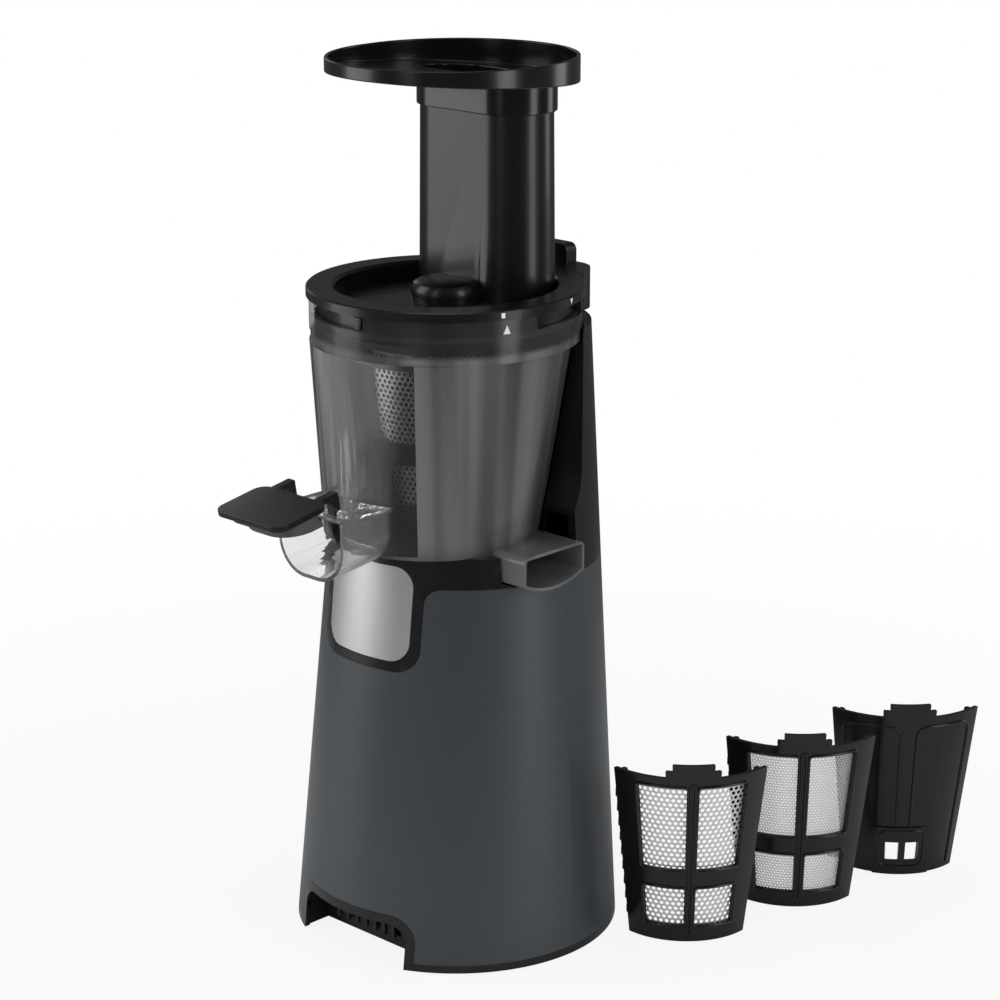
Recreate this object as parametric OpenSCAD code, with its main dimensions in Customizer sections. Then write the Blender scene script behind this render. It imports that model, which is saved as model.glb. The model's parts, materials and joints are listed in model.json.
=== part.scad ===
// Cold press juicer: a round leaning base with a geared motor, a clear bowl that lifts off,
// a strainer with three removable inserts, an auger, a wiper, a twist-on lid with an oval
// feed tube, a lift-off food tray, and a set of three spare inserts that stand beside it.
// Origin: on the floor, under the axis of the auger. The front is -Y and up is +Z.

/* [Base] */
// Radius of the base at the floor
base_foot_r = 87.6; // [85:0.2:90]
// How far the base's centre lies behind the auger's axis at the floor
base_foot_y = 6.5; // [5:0.1:8]
// Radius of the tower at its top
tower_r = 64.3; // [63.5:0.1:66]
// How far the tower's centre lies behind the auger's axis at its top
tower_y = 17.1; // [16.5:0.1:18.5]
// Height of the tower's top face
tower_top = 331; // [330:0.1:331.2]
// Height of the deck that the bowl stands on
deck_z = 222; // [221:0.5:223]
// Height of the grey wrap's top edge
wrap_top = 206; // [200:1:210]
// Wall of the grey wrap
wrap_wall = 1.5; // [1:0.1:2]
// Wall of the black housing
housing_wall = 2.6; // [2:0.1:3]
// Height of the black ring at the foot
ring_h = 4.2; // [3:0.1:6]
// Gap between the ring and the floor
ring_lift = 0.8; // [0.5:0.1:1.5]
// Radius of the sweep where the tower's front edge runs into the deck
sweep_r = 45; // [35:1:50]
// Place of the tower's front edge above the sweep, behind the axis
sweep_y = 33; // [30:0.5:36]

/* [Front] */
// Half width of the black surround of the steel plate
bezel_half_w = 35; // [33:0.5:38]
// Height of the surround's lower edge
bezel_z = 160.5; // [155:0.5:162]
// Corner radius of the surround
bezel_r = 13; // [10:0.5:16]
// Half width of the steel plate
plate_half_w = 29.5; // [26:0.5:31]
// Height of the steel plate's lower edge
plate_z = 165.7; // [164:0.1:170]
// Height of the steel plate's upper edge
plate_top = 216; // [210:0.5:216.5]
// Corner radius of the steel plate
plate_r = 11; // [6:0.5:14]
// Thickness of the steel plate
plate_wall = 1; // [0.6:0.1:1.2]
// Half width of the arch at the foot, over its trim
arch_half_w = 43; // [40:0.5:46]
// Height of the arch over its trim
arch_top = 29.4; // [26:0.2:32]
// Corner radius of the arch
arch_r = 15; // [10:0.5:18]
// Width of the arch's trim
arch_trim = 4.8; // [4:0.1:6]
// How far the arch reaches into the base
arch_depth = 26; // [18:1:30]

/* [Bowl] */
// Height of the bowl's rim
bowl_top = 348; // [348:0.05:348.2]
// Height of the collar's lower edge
collar_z = 325; // [323:0.5:327]
// Outer radius of the collar
collar_r = 71; // [70.6:0.1:71.2]
// Wall of the collar
collar_wall = 2.8; // [2.6:0.1:3]
// Outer radius of the bowl's wall under the collar
bowl_upper_r = 68.3; // [67.5:0.1:69]
// Place of the bowl's centre under the collar
bowl_upper_y = -4; // [-5:0.1:-3]
// Outer radius of the bowl at its floor
bowl_lower_r = 56.5; // [56:0.1:58]
// Place of the bowl's centre at its floor
bowl_lower_y = -11.5; // [-12:0.1:-11]
// Wall of the bowl
bowl_wall = 2.2; // [1.8:0.1:2.4]
// Thickness of the bowl's floor
bowl_floor = 2.5; // [2:0.1:2.8]
// Angle of the clear window to each side of the front
window_angle = 32; // [28:0.5:36]

/* [Juice spout] */
// Half width of the juice spout
spout_half_w = 24; // [20:0.5:25]
// Height of the juice spout's top
spout_top = 250; // [246:0.5:252]
// Place of the juice spout's mouth
mouth_y = -97.5; // [-105:0.5:-92]
// Height of the juice spout's lowest line at the mouth
mouth_z = 214.5; // [212:0.1:217]
// Fall of the juice spout towards the mouth
spout_fall = 7; // [4:0.5:9]
// Wall of the juice spout
spout_wall = 2; // [1.6:0.1:2.4]
// Radius of the juice spout's lower corners
spout_r = 19; // [14:0.5:20]
// Width of the cap
cap_w = 50; // [46:0.5:56]
// Length of the cap's plate
cap_l = 34.6; // [30:0.2:38]
// Thickness of the cap's plate
cap_t = 3; // [2:0.1:4]
// Angle between the cap as it stands open and the cap when shut
cap_open_angle = 80; // [75:1:85]
// Radius of the cap's hinge pin
cap_pin_r = 1.2; // [1:0.1:1.5]

/* [Pulp spout] */
// Half width of the pulp spout
pulp_half_w = 22.6; // [20:0.2:23.6]
// Height of the pulp spout's top
pulp_top = 225; // [224:0.2:227]
// Height of the pulp spout's side at its lower corner
pulp_side_z = 209.5; // [208:0.5:212]
// Height of the pulp spout's lowest line
pulp_z = 204; // [203:0.5:206]
// How far the pulp spout reaches to the side
pulp_reach = 78; // [76:0.5:84]
// Wall of the pulp spout
pulp_wall = 1.6; // [1.2:0.1:2]

/* [Strainer] */
// Outer radius of the strainer at its foot
strainer_foot_r = 40.1; // [39.6:0.1:40.3]
// Outer radius of the strainer at its top
strainer_top_r = 53.5; // [52:0.1:54]
// Height of the strainer's floor, lower face
strainer_z = 230.5; // [230.4:0.05:231]
// Thickness of the strainer's floor
strainer_floor = 2.5; // [2:0.1:3]
// Height of the top of the strainer's wall and of its inserts
strainer_top = 332; // [330:0.2:333]
// Wall of the strainer
strainer_wall = 3; // [2.6:0.1:3.2]
// Arc of each of the strainer's three bays
bay_arc = 100; // [96:0.5:104]
// Wall of an insert
insert_wall = 2.35; // [2:0.05:2.5]
// Thickness of the steel mesh
mesh_t = 0.5; // [0.3:0.05:0.6]
// Height of the tab on an insert
tab_h = 8; // [6:0.2:8.5]
// Width of the tab on an insert, as an angle
tab_arc = 24; // [18:1:30]
// Depth of the flanges along an insert's sides
insert_flange = 4; // [3:0.1:5]

/* [Auger and gears] */
// Radius of the auger's core at its foot
auger_core_r = 25; // [20:0.5:27]
// Radius of the auger's core at its top
auger_neck_r = 12; // [9:0.5:15]
// Radius of the auger's flights at their foot
flight_r = 32.5; // [30:0.5:33]
// Growth of the flights' radius from foot to top
flight_growth = 1.36; // [1.2:0.02:1.38]
// Turn of the flights from foot to top
flight_turn = 380; // [300:10:420]
// Radius of the pin at the auger's top
pin_r = 4; // [3.5:0.1:4.5]
// Distance of one gear tooth to the next, over pi
gear_module = 1; // [1:0.1:1]
// Teeth of the motor's pinion and of the second pinion
pinion_teeth = 14; // [14:1:14]
// Teeth of the first gear and of the output gear
wheel_teeth = 52; // [52:1:52]
// Teeth of the auger's gear
sun_teeth = 30; // [30:1:30]
// Teeth of the idler gear in the bowl
idler_teeth = 20; // [20:1:20]
// Radius of the output shaft
shaft_r = 8; // [7:0.1:8.4]
// Distance across the corners of the output shaft's hexagon
hex_d = 14.6; // [13:0.1:15]

/* [Motor] */
// Outer radius of the motor
motor_r = 38; // [34:0.5:42]
// Height of the motor's lower face
motor_z = 34; // [32:0.5:38]
// Height of the motor's upper face
motor_top = 104; // [100:0.5:106]
// Radius of the rotor
rotor_r = 22; // [20:0.5:24]
// Radius of the motor's shaft
motor_shaft_r = 4; // [3:0.1:4.5]
// Radius of the fan
fan_r = 30; // [24:0.5:34]

/* [Lid] */
// Outer radius of the lid
lid_r = 72.5; // [72:0.1:73]
// Thickness of the lid's rim
lid_rim_h = 5; // [4:0.1:6]
// Radius of the round recess in the lid
recess_r = 57.7; // [56:0.1:58]
// Depth of the recess at its edge
recess_depth = 9.6; // [8:0.1:9.8]
// Radius of the hub in the lid's middle
hub_r = 18.2; // [16:0.1:20]
// Half distance between the feed tube's two round ends
tube_half = 19; // [16:0.5:20]
// Outer radius of the feed tube's round ends at the lid
tube_foot_r = 22; // [21:0.1:22.4]
// Outer radius of the feed tube's round ends at the top
tube_top_r = 20.9; // [20:0.1:21]
// Place of the feed tube's centre behind the axis
tube_y = 30.6; // [30:0.1:31.4]
// Height of the feed tube's top
tube_top = 451; // [440:1:452]
// Wall of the feed tube
tube_wall = 2.2; // [1.8:0.1:2.6]
// Half width of the ear over the tower
ear_half_w = 32; // [28:0.5:34]
// Place of the ear's back face
ear_back_y = 86; // [84:0.5:88]
// Corner radius of the ear
ear_r = 16; // [12:0.5:18]
// Height of the raised tab on the ear
ear_tab_h = 10.4; // [8:0.2:12]

/* [Tray] */
// Radius of the tray's round ends
tray_r = 62.9; // [60:0.1:66]
// Half distance between the tray's two round ends
tray_half = 3.2; // [2:0.1:6]
// Place of the tray's centre behind the axis
tray_y = 5.8; // [3:0.1:8]
// Height of the tray's rim above its underside at the centre
tray_depth = 11.1; // [10:0.1:14]
// Room between the feed tube's end and the tray's underside
tray_lift = 7.9; // [7:0.1:9]
// Slope of the tray's floor towards the feed tube
tray_slope = 3.8; // [3:0.1:5]
// Wall of the tray
tray_wall = 2; // [1.6:0.1:2.6]
// Wall of the collar that slides over the feed tube
tray_collar_wall = 1.65; // [1.4:0.05:2]
// Length of the collar that slides over the feed tube
tray_collar_l = 10; // [7:0.5:14]

/* [Spare inserts] */
// Place to the side of the nearest spare insert
spare_x = 122; // [118:1:140]
// Place behind the axis of the nearest spare insert
spare_y = 60; // [55:1:80]
// Step to the side from one spare insert to the next
spare_step_x = 14; // [8:1:20]
// Step back from one spare insert to the next
spare_step_y = 76; // [70:1:90]

/* [Hidden] */
$fn = 96;

// Clearances and small working sizes
fit_gap = 0.1;
run_gap = 0.3;
bowl_gap = 0.8;
bore_gap = 0.05;
overrun = 1;
tilt_run = 12;
cut_box = 400;
edge_r = 1.5;
screw_r = 1.6;
screw_head_r = 3.2;
screw_head_h = 2;

// Base
ring_top = ring_lift + ring_h;
ring_wall = 3.2;
skirt_z = 148;
skirt_inset = wrap_wall + fit_gap;
skirt_wall = 2.5;
deck_wall = 2.6;
bezel_fillet = 8;
plate_floor = 3;
base_plate_t = 3;
plate_lift = 0.7;
base_plate_z = ring_lift + plate_lift;
foot_r = 8;
foot_peg_r = 3.6;
foot_x = 50;
foot_front_y = -38;
foot_back_y = 58;
boss_r = 5;
base_screw_r = 78;
base_screw_az = [18, 162, 198, 342];
screw_boss_r = 6.5;
ring_lip_h = 8;
seat_r = 17.2;
seat_depth = 8.5;
seat_wall = 2.5;
trough_gap = 1;
trough_wall = 2.2;
vent_w = 3;
vent_l = 26;
vent_step = 8;
vent_count = 6;

// Bowl
floor_top = deck_z + bowl_floor;
boss_h = 8;
bowl_boss_r = 16;
journal_r = 12;
bowl_seal_h = 2;
journal_play = 0.5;
idler_pin_r = 3;
gear_play = 0.7;
lug_arc = 4.5;
lug_az = 6;
lug_z = 341;
lug_h = 6;
slot_arc = 44;
collar_step = 0.7;
collar_step_h = 6;
pulp_corner_r = 3.5;
chute_x = 18.2;
chute_l = 13;
chute_half_w = 8.3;
chute_wall = 1.5;
spout_root_y = -45;
spout_join_y = -60;
trough_y = -42;
knuckle_gap = 0.2;
hinge_back = 2;
hinge_rise = 2.5;
hinge_y = mouth_y + hinge_back;
hinge_z = spout_top + hinge_rise;
knuckle_r = hinge_rise - knuckle_gap;
spout_lug_w = 3;
spout_lug_inset = 2.5;
cap_arm_w = 5;
cap_arm_inset = 8;
cap_lip_in = 3;
cap_face = 11;
cap_start = 9.7;
cap_block_t = 5.8;
cap_lip_t = 4;
cap_lip_gap = 1;
cap_r = 7;

// Gears
lay_y = gear_module * (pinion_teeth + wheel_teeth) / 2;
ring_teeth = sun_teeth + 2 * idler_teeth;
idler_x = -gear_module * (sun_teeth + idler_teeth) / 2;
bowl_gear_z = floor_top + gear_play;
bowl_gear_h = 4.5;
pressure_angle = 20;
backlash = 0.12;
box_z = motor_top + 6;
box_floor = 3;
pinion_z = box_z + box_floor + 2;
pinion_h = 10;
wheel_h = 8;
pinion2_z = pinion_z + pinion_h + 4;
pinion2_h = 14;
box_top = pinion2_z + pinion2_h + 3;
cover_t = 4;
box_r = 32;
cover_half_x = 49;
cover_front_half_x = 39;
cover_y0 = -43;
cover_y1 = 61;
cover_step_y = 30;
post_x = 34;
post_y = -38;
column_x = 44;
column_y = 56;
column_top = 262;

// Strainer
bay_z = strainer_z + strainer_floor;
insert_play = 0.3;
insert_arc = bay_arc - 0.6;
flange_arc = 3;
tab_taper = 4;
mesh_lo = bay_z + 10;
mesh_hi = strainer_top - 5.6;
bar_lo_share = 0.272;
bar_hi_share = 0.409;
rib_arc = 3.7;
side_arc = 16;
rib_proud = 1.5;
rib_foot = 6;
rib_head = 3;
box_proud = 1.2;
box_share = 0.24;
box_arc = 44;
outlet_share = 0.13;
outlet_turn = 7.4;
outlet_arc = 10;
mesh_lap = 2;
ear_arc = 16;
bay_az = [-60, 60, 180];
spare_az = -45;
auger_z = bay_z + 0.4;
flight_top = strainer_top + 4;
flight_w = 5;
wiper_gap = 0.8;
wiper_t = 2.4;
wiper_top = 322;
wiper_ring_h = 4;
wiper_az_share = [0.33, 0.83];
wiper_arc = 12;
wiper_foot_top = 266;
wiper_slot_drop = 26;
wiper_slot_h = 7;
blade_t = 0.5;

// Tray
tray_under = tube_top + tray_lift;
tray_top = tray_under + tray_depth;
tray_collar_z = tube_top - tray_collar_l;
tray_play = 0.25;

// Lid
lid_z = bowl_top;
skirt_gap = 1.4;
skirt_t = 3.2;
skirt_l = 14;
lid_top = lid_z + lid_rim_h;
recess_z = lid_top - recess_depth;
lid_floor_t = 2.4;
lid_floor_rise = 3;
hub_top = lid_top + 2;
bush_r = 7;
bush_top = hub_top - 3;
skirt_out_r = collar_r - collar_wall - skirt_gap;
skirt_in_r = skirt_out_r - skirt_t;
lid_skirt_z = lid_z - skirt_l;
seal_z = lid_skirt_z + 2;
seal_h = 3;
seal_in_r = skirt_out_r - 1.8;
ear_z = tower_top + 0.5;
ear_tab_half_w = 14;
ear_tab_y = ear_back_y - 9;
ear_tab_t = 8;
ear_tab_r = 4;
tray_hole_r = tube_top_r - tube_wall;

// Radius and centre of the leaning base at a height
function base_r(z) = base_foot_r + (tower_r - base_foot_r) * z / tower_top;
function base_y(z) = base_foot_y + (tower_y - base_foot_y) * z / tower_top;
// Radius and centre of the bowl at a height
function bowl_r(z) = bowl_lower_r + (bowl_upper_r - bowl_lower_r) * (z - deck_z) / (collar_z - deck_z);
function bowl_y(z) = bowl_lower_y + (bowl_upper_y - bowl_lower_y) * (z - deck_z) / (collar_z - deck_z);
// Outer radius of the strainer at a height
function strainer_r(z) = strainer_foot_r
  + (strainer_top_r - strainer_foot_r) * (z - strainer_z) / (strainer_top - strainer_z);
// Turn from the front to the plane's own angle
function az(a) = a - 90;
function turned(p, a) = [p[0] * cos(a) - p[1] * sin(a), p[0] * sin(a) + p[1] * cos(a)];

// A round cone whose axis leans from [0, ya, za] to [0, yb, zb], cut level at lo and hi
module leaning_cone(za, ra, ya, zb, rb, yb, lo, hi) {
  lean = atan2(yb - ya, zb - za);
  grow = (rb - ra) / (zb - za);
  intersection() {
    translate([0, ya, za])
      rotate([-lean, 0, 0])
        translate([0, 0, lo - za - tilt_run])
          cylinder(r1 = ra + grow * (lo - za - tilt_run), r2 = ra + grow * (hi - za + tilt_run),
            h = hi - lo + 2 * tilt_run);
    translate([-cut_box / 2, -cut_box / 2, lo])
      cube([cut_box, cut_box, hi - lo]);
  }
}

module base_cone(inset, lo, hi) {
  leaning_cone(0, base_foot_r - inset, base_foot_y, tower_top, tower_r - inset, tower_y, lo, hi);
}

module bowl_cone(inset, lo, hi) {
  leaning_cone(deck_z, bowl_lower_r - inset, bowl_lower_y, collar_z, bowl_upper_r - inset,
    bowl_upper_y, lo, hi);
}

// A rectangle with round corners, from its lower left corner
module round_rect(x0, y0, x1, y1, r) {
  translate([x0 + r, y0])
    square([x1 - x0 - 2 * r, y1 - y0]);
  translate([x0, y0 + r])
    square([x1 - x0, y1 - y0 - 2 * r]);
  for (x = [x0 + r, x1 - r], y = [y0 + r, y1 - r])
    translate([x, y])
      circle(r);
}

// Two round ends joined by straight sides
module oval(half, r) {
  square([2 * half, 2 * r], center = true);
  for (x = [-half, half])
    translate([x, 0])
      circle(r);
}

// Turns an outline drawn in x and z into a prism that runs to the front
module to_front(length) {
  rotate([90, 0, 0])
    linear_extrude(length)
      children();
}

// A tube section between two heights
module ring(r_out, r_in, lo, hi) {
  difference() {
    translate([0, 0, lo])
      cylinder(r = r_out, h = hi - lo);
    translate([0, 0, lo - overrun])
      cylinder(r = r_in, h = hi - lo + 2 * overrun);
  }
}

// A part of a conical wall, about the strainer's axis
module wall_sector(inner, outer, lo, hi, mid, arc) {
  rotate([0, 0, mid - arc / 2])
    rotate_extrude(angle = arc)
      polygon([[strainer_r(lo) - inner, lo], [strainer_r(lo) - outer, lo],
        [strainer_r(hi) - outer, hi], [strainer_r(hi) - inner, hi]]);
}

// A part of a round wall
module round_sector(r_in, r_out, lo, hi, mid, arc) {
  rotate([0, 0, mid - arc / 2])
    rotate_extrude(angle = arc)
      translate([r_in, lo])
        square([r_out - r_in, hi - lo]);
}

// One flank point of an involute tooth, at radius r
function involute_angle(r, rb) = r <= rb ? 0
  : sqrt(pow(r / rb, 2) - 1) * 180 / PI - atan(sqrt(pow(r / rb, 2) - 1));

// The outline of a spur gear with its first tooth on +X
module gear_outline(teeth, tip_share, root_share, play) {
  rp = gear_module * teeth / 2;
  rb = rp * cos(pressure_angle);
  ro = rp + gear_module * tip_share;
  rr = rp - gear_module * root_share;
  half = 90 / teeth + involute_angle(rp, rb) - play / rp * 180 / PI;
  radii = [rr, max(rb, rr), (max(rb, rr) + rp) / 2, rp, (rp + ro) / 2, ro];
  side = [for (r = radii) [r, half - involute_angle(r, rb)]];
  flank = [for (s = side) [s[0] * cos(s[1]), -s[0] * sin(s[1])]];
  tooth = concat(flank, [for (i = [5:-1:0]) [flank[i][0], -flank[i][1]]]);
  polygon([for (t = [0:teeth - 1], p = tooth) turned(p, t * 360 / teeth)]);
}

module gear(teeth, bore_r, lo, h, turn) {
  difference() {
    translate([0, 0, lo])
      linear_extrude(h)
        rotate(turn)
          gear_outline(teeth, 0.8, 1.15, backlash);
    translate([0, 0, lo - overrun])
      cylinder(r = bore_r, h = h + 2 * overrun);
  }
}

// The front surround: wide at the top with round shoulders
module bezel_outline(grow) {
  round_rect(-bezel_half_w - grow, bezel_z - grow, bezel_half_w + grow, deck_z, bezel_r + grow);
  for (side = [-1, 1])
    difference() {
      translate([side * (bezel_half_w + bezel_fillet / 2), wrap_top - bezel_fillet / 2])
        square(bezel_fillet + 2 * grow, center = true);
      translate([side * (bezel_half_w + bezel_fillet + grow), wrap_top - bezel_fillet])
        circle(bezel_fillet);
    }
}

module plate_outline(grow) {
  round_rect(-plate_half_w - grow, plate_z - grow, plate_half_w + grow, plate_top + grow,
    plate_r + grow);
}

module arch_outline(inset) {
  round_rect(-arch_half_w + inset, -arch_r, arch_half_w - inset, arch_top - inset, arch_r - inset);
}

// The pulp spout's section, drawn in y and z
module pulp_section(grow) {
  arc_r = (pow(pulp_half_w, 2) + pow(pulp_side_z - pulp_z, 2)) / (2 * (pulp_side_z - pulp_z));
  intersection() {
    round_rect(-pulp_half_w - grow, pulp_z - pulp_side_z + pulp_z - grow, pulp_half_w + grow,
      pulp_top + grow, pulp_corner_r + grow);
    translate([0, pulp_z + arc_r])
      circle(arc_r + grow);
  }
}

module along_x(lo, hi) {
  translate([lo, 0, 0])
    rotate([90, 0, 90])
      linear_extrude(hi - lo)
        children();
}

// The juice spout's volume, grown or shrunk, which falls towards its mouth
module spout_volume(grow, y_in, y_out, top) {
  root_z = mouth_z + (spout_root_y - mouth_y) * tan(spout_fall);
  intersection() {
    translate([0, spout_root_y, root_z])
      rotate([90 + spout_fall, 0, 0])
        translate([0, 0, -tilt_run])
          linear_extrude(cut_box / 4)
            round_rect(-spout_half_w - grow, -grow, spout_half_w + grow, 2 * spout_half_w,
              spout_r + grow);
    translate([-cut_box / 2, y_out, deck_z - cut_box / 4])
      cube([cut_box, y_in - y_out, top - deck_z + cut_box / 4]);
  }
}

// The space of the bowl's clear window, a wedge about the front
module window_wedge(lo, hi) {
  reach = 2 * collar_r;
  translate([0, 0, lo])
    linear_extrude(hi - lo)
      polygon([[0, 0], [-reach * tan(window_angle), -reach], [reach * tan(window_angle), -reach]]);
}

module outer_wrap() {
  color("slategray")
    difference() {
      base_cone(0, ring_top, wrap_top);
      base_cone(wrap_wall, ring_top - overrun, wrap_top + overrun);
      to_front(cut_box / 2)
        bezel_outline(fit_gap);
      translate([0, 0, fit_gap])
        to_front(cut_box / 2)
          arch_outline(-fit_gap);
      translate([0, base_y(switch_z) + base_r(switch_z), switch_z])
        cube([switch_w + 2 * fit_gap, 2 * switch_depth, switch_h + 2 * fit_gap], center = true);
      translate([0, base_y(inlet_z) + base_r(inlet_z), inlet_z])
        rotate([90, 0, 0])
          cylinder(r = inlet_r + fit_gap, h = 2 * inlet_l, center = true);
      along_x(chute_x, cut_box / 2)
        pulp_section(run_gap);
    }
}

module base_ring() {
  color("black")
    difference() {
      union() {
        intersection() {
          base_cone(0, ring_lift, arch_top + overrun);
          union() {
            translate([-cut_box / 2, -cut_box / 2, 0])
              cube([cut_box, cut_box, ring_top]);
            to_front(cut_box / 2)
              arch_outline(0);
          }
        }
        base_cone(wrap_wall + fit_gap, ring_lift + bore_gap, ring_top + ring_lip_h);
      }
      difference() {
        base_cone(ring_wall, ring_lift - overrun, arch_top + 2 * overrun);
        for (a = base_screw_az)
          translate([base_screw_r * cos(a), base_y(0) + base_screw_r * sin(a),
            base_plate_z + base_plate_t + fit_gap])
            cylinder(r = screw_boss_r, h = ring_lip_h + overrun);
      }
      for (a = base_screw_az)
        translate([base_screw_r * cos(a), base_y(0) + base_screw_r * sin(a), ring_lift])
          cylinder(r = screw_r + bore_gap, h = base_plate_t + 4 * screw_r);
      to_front(cut_box / 2)
        arch_outline(arch_trim);
    }
}

// Sizes of what sits in the back wall and on the base plate
switch_z = 62;
switch_w = 32;
switch_h = 24;
switch_depth = 16;
rocker_w = 24;
rocker_h = 17;
rocker_pivot = 5.5;
rocker_well = 12.5;
rocker_proud = 1.2;
inlet_z = 24;
inlet_r = 7;
inlet_l = 9;
cable_r = 3.4;
board_w = 46;
board_d = 30;
board_t = 1.6;
board_y = 52;
board_z = base_plate_z + base_plate_t + 6;
capacitor_r = 7;
capacitor_h = 10;
arch_back_y = base_foot_y - base_foot_r + arch_depth;

module base_plate() {
  plate_top_z = base_plate_z + base_plate_t;
  wall = arch_trim + fit_gap;
  color("black")
    difference() {
      union() {
        intersection() {
          base_cone(ring_wall + fit_gap, base_plate_z, arch_top);
          union() {
            translate([-cut_box / 2, -cut_box / 2, 0])
              cube([cut_box, cut_box, plate_top_z]);
            intersection() {
              to_front(cut_box / 2)
                arch_outline(arch_trim - plate_floor);
              translate([-cut_box / 2, -cut_box, 0])
                cube([cut_box, cut_box + arch_back_y + plate_floor, cut_box]);
            }
          }
        }
        for (x = [-foot_x, foot_x], y = [foot_front_y, foot_back_y])
          translate([x, y, base_plate_z])
            cylinder(r = foot_peg_r + plate_floor, h = base_plate_t + plate_floor);
        for (x = [-board_w / 2 + boss_r, board_w / 2 - boss_r])
          translate([x, board_y, base_plate_z])
            cylinder(r = boss_r, h = board_z - base_plate_z);
      }
      intersection() {
        to_front(cut_box / 2)
          arch_outline(arch_trim);
        translate([-cut_box / 2, -cut_box, -overrun])
          cube([cut_box, cut_box + arch_back_y, cut_box]);
      }
      for (x = [-foot_x, foot_x], y = [foot_front_y, foot_back_y])
        translate([x, y, base_plate_z - overrun])
          cylinder(r = foot_peg_r + fit_gap, h = overrun + base_plate_t + plate_floor - overrun);
      for (i = [0:vent_count - 1], side = [-1, 1])
        translate([side * (i + 0.5) * vent_step - vent_w / 2, -vent_l / 2, base_plate_z - overrun])
          cube([vent_w, vent_l, base_plate_t + 2 * overrun]);
      for (side = [-1, 0, 1])
        translate([side * vent_step * 2 - vent_w, arch_back_y - overrun, base_plate_z + base_plate_t
          + vent_w])
          cube([2 * vent_w, plate_floor + 2 * overrun, arch_top - arch_trim - base_plate_t
            - 4 * vent_w]);
      for (a = base_screw_az)
        translate([base_screw_r * cos(a), base_y(0) + base_screw_r * sin(a), base_plate_z - overrun])
          cylinder(r = screw_r + fit_gap, h = base_plate_t + 2 * overrun);
      for (a = base_screw_az)
        translate([base_screw_r * cos(a), base_y(0) + base_screw_r * sin(a), base_plate_z - overrun])
          cylinder(r = screw_head_r + fit_gap, h = screw_head_h + overrun);
    }
}

module rubber_feet() {
  color("dimgray")
    for (x = [-foot_x, foot_x], y = [foot_front_y, foot_back_y])
      translate([x, y, 0]) {
        cylinder(r = foot_r, h = base_plate_z);
        cylinder(r = foot_peg_r, h = base_plate_z + base_plate_t);
      }
}

module base_screws() {
  color("silver")
    for (a = base_screw_az)
      translate([base_screw_r * cos(a), base_y(0) + base_screw_r * sin(a), base_plate_z])
        difference() {
          union() {
            cylinder(r = screw_head_r, h = screw_head_h - fit_gap);
            cylinder(r = screw_r, h = base_plate_t + 3 * screw_r);
          }
          translate([0, 0, -overrun])
            cylinder(r = screw_r, h = overrun + screw_head_h / 2, $fn = 6);
        }
}

// The region before and above the line where the tower's front sweeps into the deck
module sweep_outline(grow) {
  lean = atan2(tower_front_y - sweep_y, tower_top - deck_z - sweep_r);
  far = cut_box / 2;
  polygon(concat(
    [[-far, deck_z - grow], [sweep_y - sweep_r, deck_z - grow]],
    [for (a = [-90:6:0])
      [sweep_y - sweep_r + (sweep_r + grow) * cos(a), deck_z + sweep_r + (sweep_r + grow) * sin(a)]],
    [[tower_front_y + grow, tower_top], [tower_front_y + grow + 2 * tan(lean), tower_top + far],
      [-far, tower_top + far]]));
}
tower_front_y = 40.5;

module bowl_space(grow) {
  bowl_cone(-bowl_gap - grow, deck_z - grow, collar_z - run_gap + overrun);
  translate([0, 0, collar_z - run_gap - grow])
    cylinder(r = collar_r + bowl_gap + grow, h = tower_top - collar_z + 2 * overrun + grow);
}

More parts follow.
